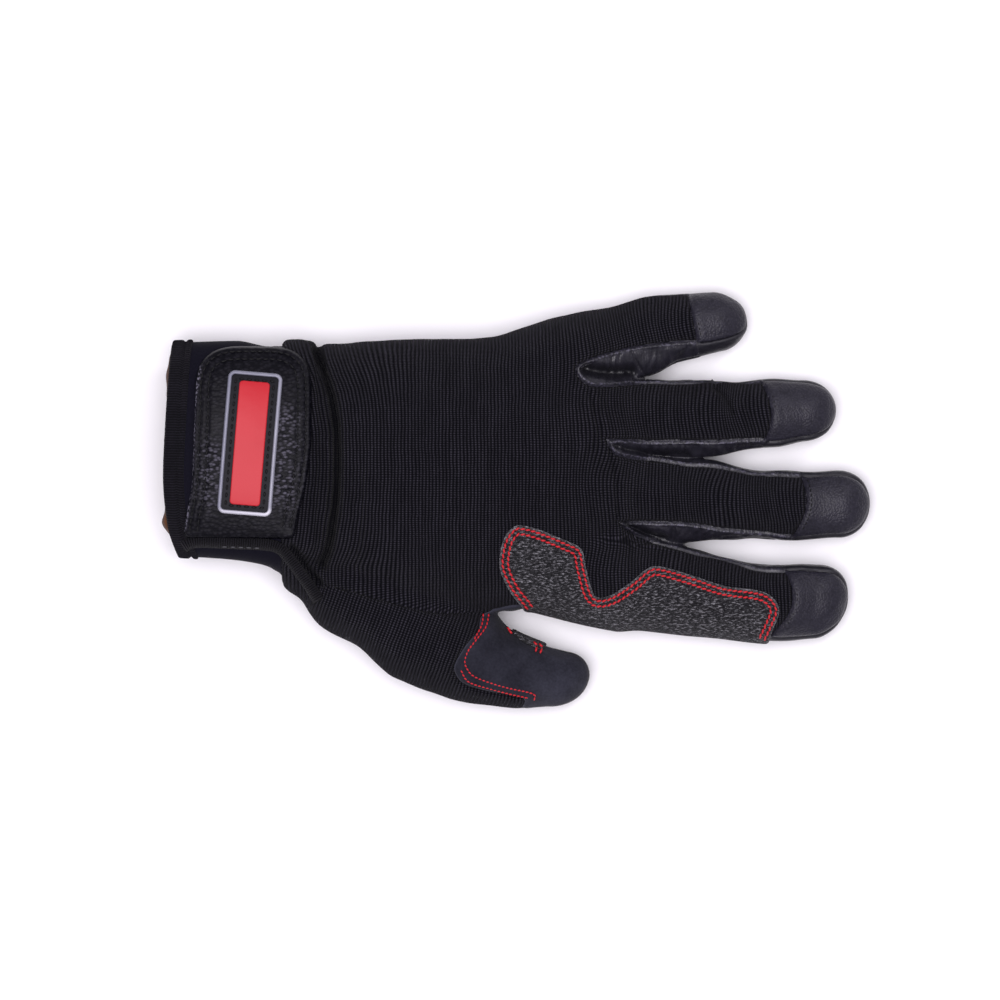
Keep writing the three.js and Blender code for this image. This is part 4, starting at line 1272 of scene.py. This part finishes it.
mesh = lath(drawn_through(TAPE_LINE), TAPE_WIDTH, TAPE_THICKNESS, GAP, 0.26, SLIT_RIB, SLIT_STEP)
run = np.arange(len(mesh[0]) // 2 // LATH_POINTS) * SLIT_STEP
rib = np.tile(np.repeat(0.5 + 0.5 * np.cos(2 * math.pi * run / SLIT_RIB), LATH_POINTS), 2)
add_piece("tape_slit", mesh, ribbed_tape, "ribbed_tape", "slit_tape", rib=rib)
pale_thread = Finish("pale thread", Roughness=0.6, Specular_IOR_Level=0.3)
pale_thread.paint((0.03, 0.03, 0.035), (0.09, 0.09, 0.1), pale_thread.noise(0.4))
mesh = stitches(drawn_through(TAPE_ROW), GAP + TAPE_THICKNESS - 0.5, 2.4, 0.8, 0.45, rings=6, sides=6)
add_piece("stitches_slit", mesh, pale_thread, None, "slit_tape")


# The wrist strap. Grained leather over a stiff core, with a round free end, sewn through in two rows
# all round.
STRAP_START = 10.7
STRAP_WIDTH = 41
STRAP_THICKNESS = 2.2
STRAP_FOOT = -21.2
STRAP_CORNER = 15
FOOT_CORNER = 2.5
STRAP_EDGES = np.array([(0.0, -0.095, 0.85), (0.12, -0.066, 0.89), (0.3, -0.013, 0.96), (0.54, 0.0, 1.0),
                        (0.72, 0.012, 1.0), (1.0, 0.012, 1.0)])
STRAP_ROWS = (2.0, 4.7)
# Lines along which the strap wrinkles and its colour is painted lighter as painted highlight, and the left
# edge along which painted glints run.
WRINKLES_AND_HIGHLIGHTS = [[(17.5, 8), (17, -6)], [(43, 20), (42, -6)]]
GLINT_EDGE = [(13, 39), (11.7, 30), (11, 18), (10.6, 6), (10.2, 0), (9, -10), (7.6, -18)]
BLACK_THREAD = 0.6


def quarter(start, corner, end):
    """A round corner between two places, as the parabola that starts and ends towards the corner."""
    t = np.linspace(0, 1, 14)[:, None]
    start, corner, end = [np.asarray(place, float) for place in (start, corner, end)]
    return (1 - t) ** 2 * start + 2 * t * (1 - t) * corner + t ** 2 * end


def strap_outline():
    """Anticlockwise up from its foot's corner, along the edge towards the fingers, round the free end
    and back down."""
    up = np.linspace(FOOT_CORNER, STRAP_TOP - STRAP_CORNER - STRAP_FOOT, 30) / (STRAP_TOP - STRAP_FOOT)
    y = STRAP_FOOT + up * (STRAP_TOP - STRAP_FOOT)
    stops, *edges = STRAP_EDGES.T
    near, far = [STRAP_START + STRAP_WIDTH * smooth_through(up, stops, edge) for edge in edges]
    right = quarter((far[-1], y[-1]), (far[-1], STRAP_TOP), (far[-1] - STRAP_CORNER, STRAP_TOP))
    left = quarter((near[-1] + STRAP_CORNER, STRAP_TOP), (near[-1], STRAP_TOP), (near[-1], y[-1]))
    return np.concatenate([np.stack([far, y], 1), right, left, np.stack([near, y], 1)[::-1]])


def pad(outline, thickness, radius, base, relief=None, step=0.8, rings=30):
    """A closed pad over an anticlockwise outline. Rings run in from its edge, close together where it
    rises as a quarter circle, then in even shares to its middle. Its underside lies at the base
    level."""
    place, way = even_steps(outline, step, closed=True)
    inwards = np.stack([-way[:, 1], way[:, 0]], axis=1)
    near = radius * (1 - np.cos(np.linspace(0, math.pi / 2, 7)))
    middle = place.mean(axis=0)
    edge = place + radius * inwards
    plan = [place + inwards * d for d in near]
    plan += [middle + (edge - middle) * share for share in np.linspace(1, 0, rings)[1:]]
    plan = np.stack(plan)
    x, y = plan[..., 0], plan[..., 1]
    deep = np.concatenate([near, np.full(rings - 1, radius)])[:, None]
    rise = domed(deep, thickness, radius) + 0 * x
    if relief is not None:
        rise = rise + relief(x, y) * np.clip(deep / radius, 0, 1)
    top, under = laid(x, y, base, rise)
    faces = grid_faces(len(plan), len(place), around=True)[:, ::-1]
    return together((top, faces), (under, faces[:, ::-1]))


strap_line = strap_outline()
corners = [(strap_line[-1, 0], STRAP_FOOT), (strap_line[0, 0], STRAP_FOOT)]
strap_whole = np.concatenate([
    quarter(strap_line[-1], corners[0], (corners[0][0] + FOOT_CORNER, STRAP_FOOT)),
    quarter((corners[1][0] - FOOT_CORNER, STRAP_FOOT), corners[1], strap_line[0])[:-1], strap_line[:-1],
])
strap_rows = [moved_in(strap_line, -row) for row in STRAP_ROWS]


def strap_relief(x, y):
    """The rows of stitches pull the leather in, and low lumps go all over it."""
    pull = sum(crease(x, y, row, 0.45, 0.7) for row in strap_rows)
    return pull + 0.07 * lumps(x, y, 0 * x, 12, 11)


strap_hide = Finish("strap leather", Specular_IOR_Level=0.12)
cells = strap_hide.pebbles(1, strap_hide.stretched(1.7, 1.05, 1.4), 0.15)
# Painted highlight: grain crests are painted lighter, most in the wrinkled patches at the sides, and glint
# paints light dashes along the left edge.
crests = (1 - cells * 1.35) * (strap_hide.noise(0.5, 3) * 0.8 + 0.6)
wrinkled = strap_hide.number("wrinkled") * strap_hide.noise(5).between(0.2, 0.6)
glint = strap_hide.number("glint") * strap_hide.noise(0.8).between(0.46, 0.6)
share = crests.between(0.15, 0.85) * (wrinkled * 0.42 + 0.033) + glint * 0.8
strap_hide.paint((0.0012, 0.0011, 0.003), (0.2, 0.19, 0.245), share)
strap_hide.emboss(crests * (wrinkled * 0.7 + 0.3), 0.35)
strap_hide.join(strap_hide.noise(12, 3) * 0.2 + 0.38, strap_hide.shader.inputs["Roughness"])
mesh = pad(strap_whole, STRAP_THICKNESS, 1.1, GAP, strap_relief)
wrinkled = sum(near_line(*mesh[0].T[:2], line, 4.5) for line in WRINKLES_AND_HIGHLIGHTS)
glint = near_line(*mesh[0].T[:2], drawn_through(GLINT_EDGE), 0.35)
add_piece("leather_strap", mesh, strap_hide, "strap_leather", "wrist_strap", wrinkled=wrinkled, glint=glint)
on_strap = GAP + STRAP_THICKNESS


rows = [stitches(row, on_strap - 0.25, 2.4, 0.9, BLACK_THREAD, rings=6, sides=6) for row in strap_rows]
add_piece("stitches_strap", together(*rows), black_thread, "black_thread", "wrist_strap")


# The badge. A moulded plate glued and sewn to the strap, with a raised pearly rim round it and a bare
# red field.
BADGE_MIDDLE = (STRAP_START + STRAP_WIDTH / 2 - 0.9, 12)
BADGE_SLANT = 4.7
BADGE_SIZE = (19, 50)
BADGE_CORNER = 2.6
RIM_WIDTH = 1.5
RIM_HEIGHT = 1.45
PLATE_HEIGHT = 0.9
FIELD_SIZE = (10.6, 43.2)
FIELD_HEIGHT = 0.45
FIELD_CORNER = 1.2
BADGE_ROW = 2.9


def badge_outline(shrink=0.0, size=BADGE_SIZE, corner=BADGE_CORNER):
    """A rectangle with round corners, anticlockwise, turned to the badge's slant."""
    angle = np.linspace(0, 2 * math.pi, 80, endpoint=False)
    half = np.array(size) / 2 - shrink
    corner = max(corner - shrink, 0.5)
    middle = np.stack([np.sign(np.cos(angle)), np.sign(np.sin(angle))], axis=1) * (half - corner)
    place = middle + corner * np.stack([np.cos(angle), np.sin(angle)], axis=1)
    return BADGE_MIDDLE + np.stack(turned_by(-BADGE_SLANT, *place.T), axis=1)


moulding = Finish("badge plate", Roughness=0.55, Specular_IOR_Level=0.15)
moulding.paint((0.004, 0.004, 0.006), (0.009, 0.009, 0.0125), moulding.noise(1.5, 3))
moulding.emboss(moulding.noise(0.5), 0.05)
pearl = Finish("badge rim", Roughness=0.32, Specular_IOR_Level=0.5)
pearl.paint((0.145, 0.15, 0.205), (0.62, 0.61, 0.68), pearl.number("pale") + pearl.noise(7, 3) * 0.25)
pearl.emboss(pearl.noise(1.2), 0.06)
enamel = Finish("badge field", Roughness=0.4, Specular_IOR_Level=0.22)
enamel.paint((0.42, 0.012, 0.02), (0.5, 0.02, 0.03), enamel.noise(16, 2))
enamel.emboss(enamel.noise(6), 0.1)

mesh = pad(badge_outline(0.4), PLATE_HEIGHT, 0.4, on_strap, step=0.6, rings=14)
add_piece("plate_badge", mesh, moulding, "badge_plate", "badge_plate")
mesh = lath(badge_outline(RIM_WIDTH / 2), RIM_WIDTH, RIM_HEIGHT, on_strap, closed=True)
x, y, _ = mesh[0].T
# Painted highlight: the rim's colour is lighter towards its lower end and a little towards its right side.
pale = smooth_step(-y, 10, 12.4) * 0.7 + smooth_step(x - 0.08 * y, 35, 38) * 0.15
add_piece("rim_badge", mesh, pearl, "badge_rim", "badge_rim", pale=pale)
mesh = pad(badge_outline(size=FIELD_SIZE, corner=FIELD_CORNER), FIELD_HEIGHT, 0.35,
           on_strap + PLATE_HEIGHT, step=0.6, rings=14)
add_piece("field_badge", mesh, enamel, "badge_field", "badge_field")
mesh = stitches(closed_line(badge_outline(BADGE_ROW)), on_strap + PLATE_HEIGHT, 2.6, 0.75, 0.75,
                rings=6, sides=6)
add_piece("stitches_badge", mesh, black_thread, "black_thread", "badge_plate")


# The table, the light and the camera, straight above the glove as in the photograph.
IMAGE_WIDTH = 350
IMAGE_MIDDLE = (117.25, -7.7)
LENS = 300
SENSOR = 36
MID_HEIGHT = 18
LIGHT_COLOUR = (0.97, 0.93, 1.0)
TABLE_LEVEL = -0.0004

table = bpy.data.meshes.new("table")
sheet = [(x, y, TABLE_LEVEL) for x, y in ((-3, -3), (3, -3), (3, 3), (-3, 3))]
table.from_pydata(sheet, [], [(0, 1, 2, 3)])
floor = bpy.data.objects.new("table", table)
bpy.context.scene.collection.objects.link(floor)
paper = Finish("white paper", Roughness=0.9, Specular_IOR_Level=0.1)
paper.paint((0.95, 0.95, 0.95), (0.96, 0.96, 0.96), paper.noise(400))
table.materials.append(paper.material)


def add_light(name, place, size, power):
    """A square soft box that looks at the glove."""
    lamp = bpy.data.lights.new(name, "AREA")
    lamp.shape, lamp.size, lamp.energy, lamp.color = "SQUARE", size, power, LIGHT_COLOUR
    box = bpy.data.objects.new(name, lamp)
    box.location = place
    box.rotation_euler = (-box.location).to_track_quat("-Z", "Y").to_euler()
    bpy.context.scene.collection.objects.link(box)


add_light("top box", (-0.12, -0.1, 1.5), 1.1, 25)
add_light("side box", (0.6, 0.7, 0.9), 0.3, 2.5)
sky = bpy.data.worlds.new("studio")
sky.use_nodes = True
sky.node_tree.nodes["Background"].inputs["Color"].default_value = (*LIGHT_COLOUR, 1)
sky.node_tree.nodes["Background"].inputs["Strength"].default_value = 0.4
bpy.context.scene.world = sky
bpy.context.scene.view_settings.view_transform = "Standard"

lens = bpy.data.cameras.new("camera")
lens.lens, lens.sensor_width = LENS, SENSOR
lens.clip_end = 20
camera = bpy.data.objects.new("camera", lens)
plan = np.array([*IMAGE_MIDDLE, 0]) * MM + CORNER
camera.location = (plan[0], plan[1], (MID_HEIGHT + IMAGE_WIDTH * LENS / SENSOR) * MM)
bpy.context.scene.collection.objects.link(camera)
bpy.context.scene.camera = camera
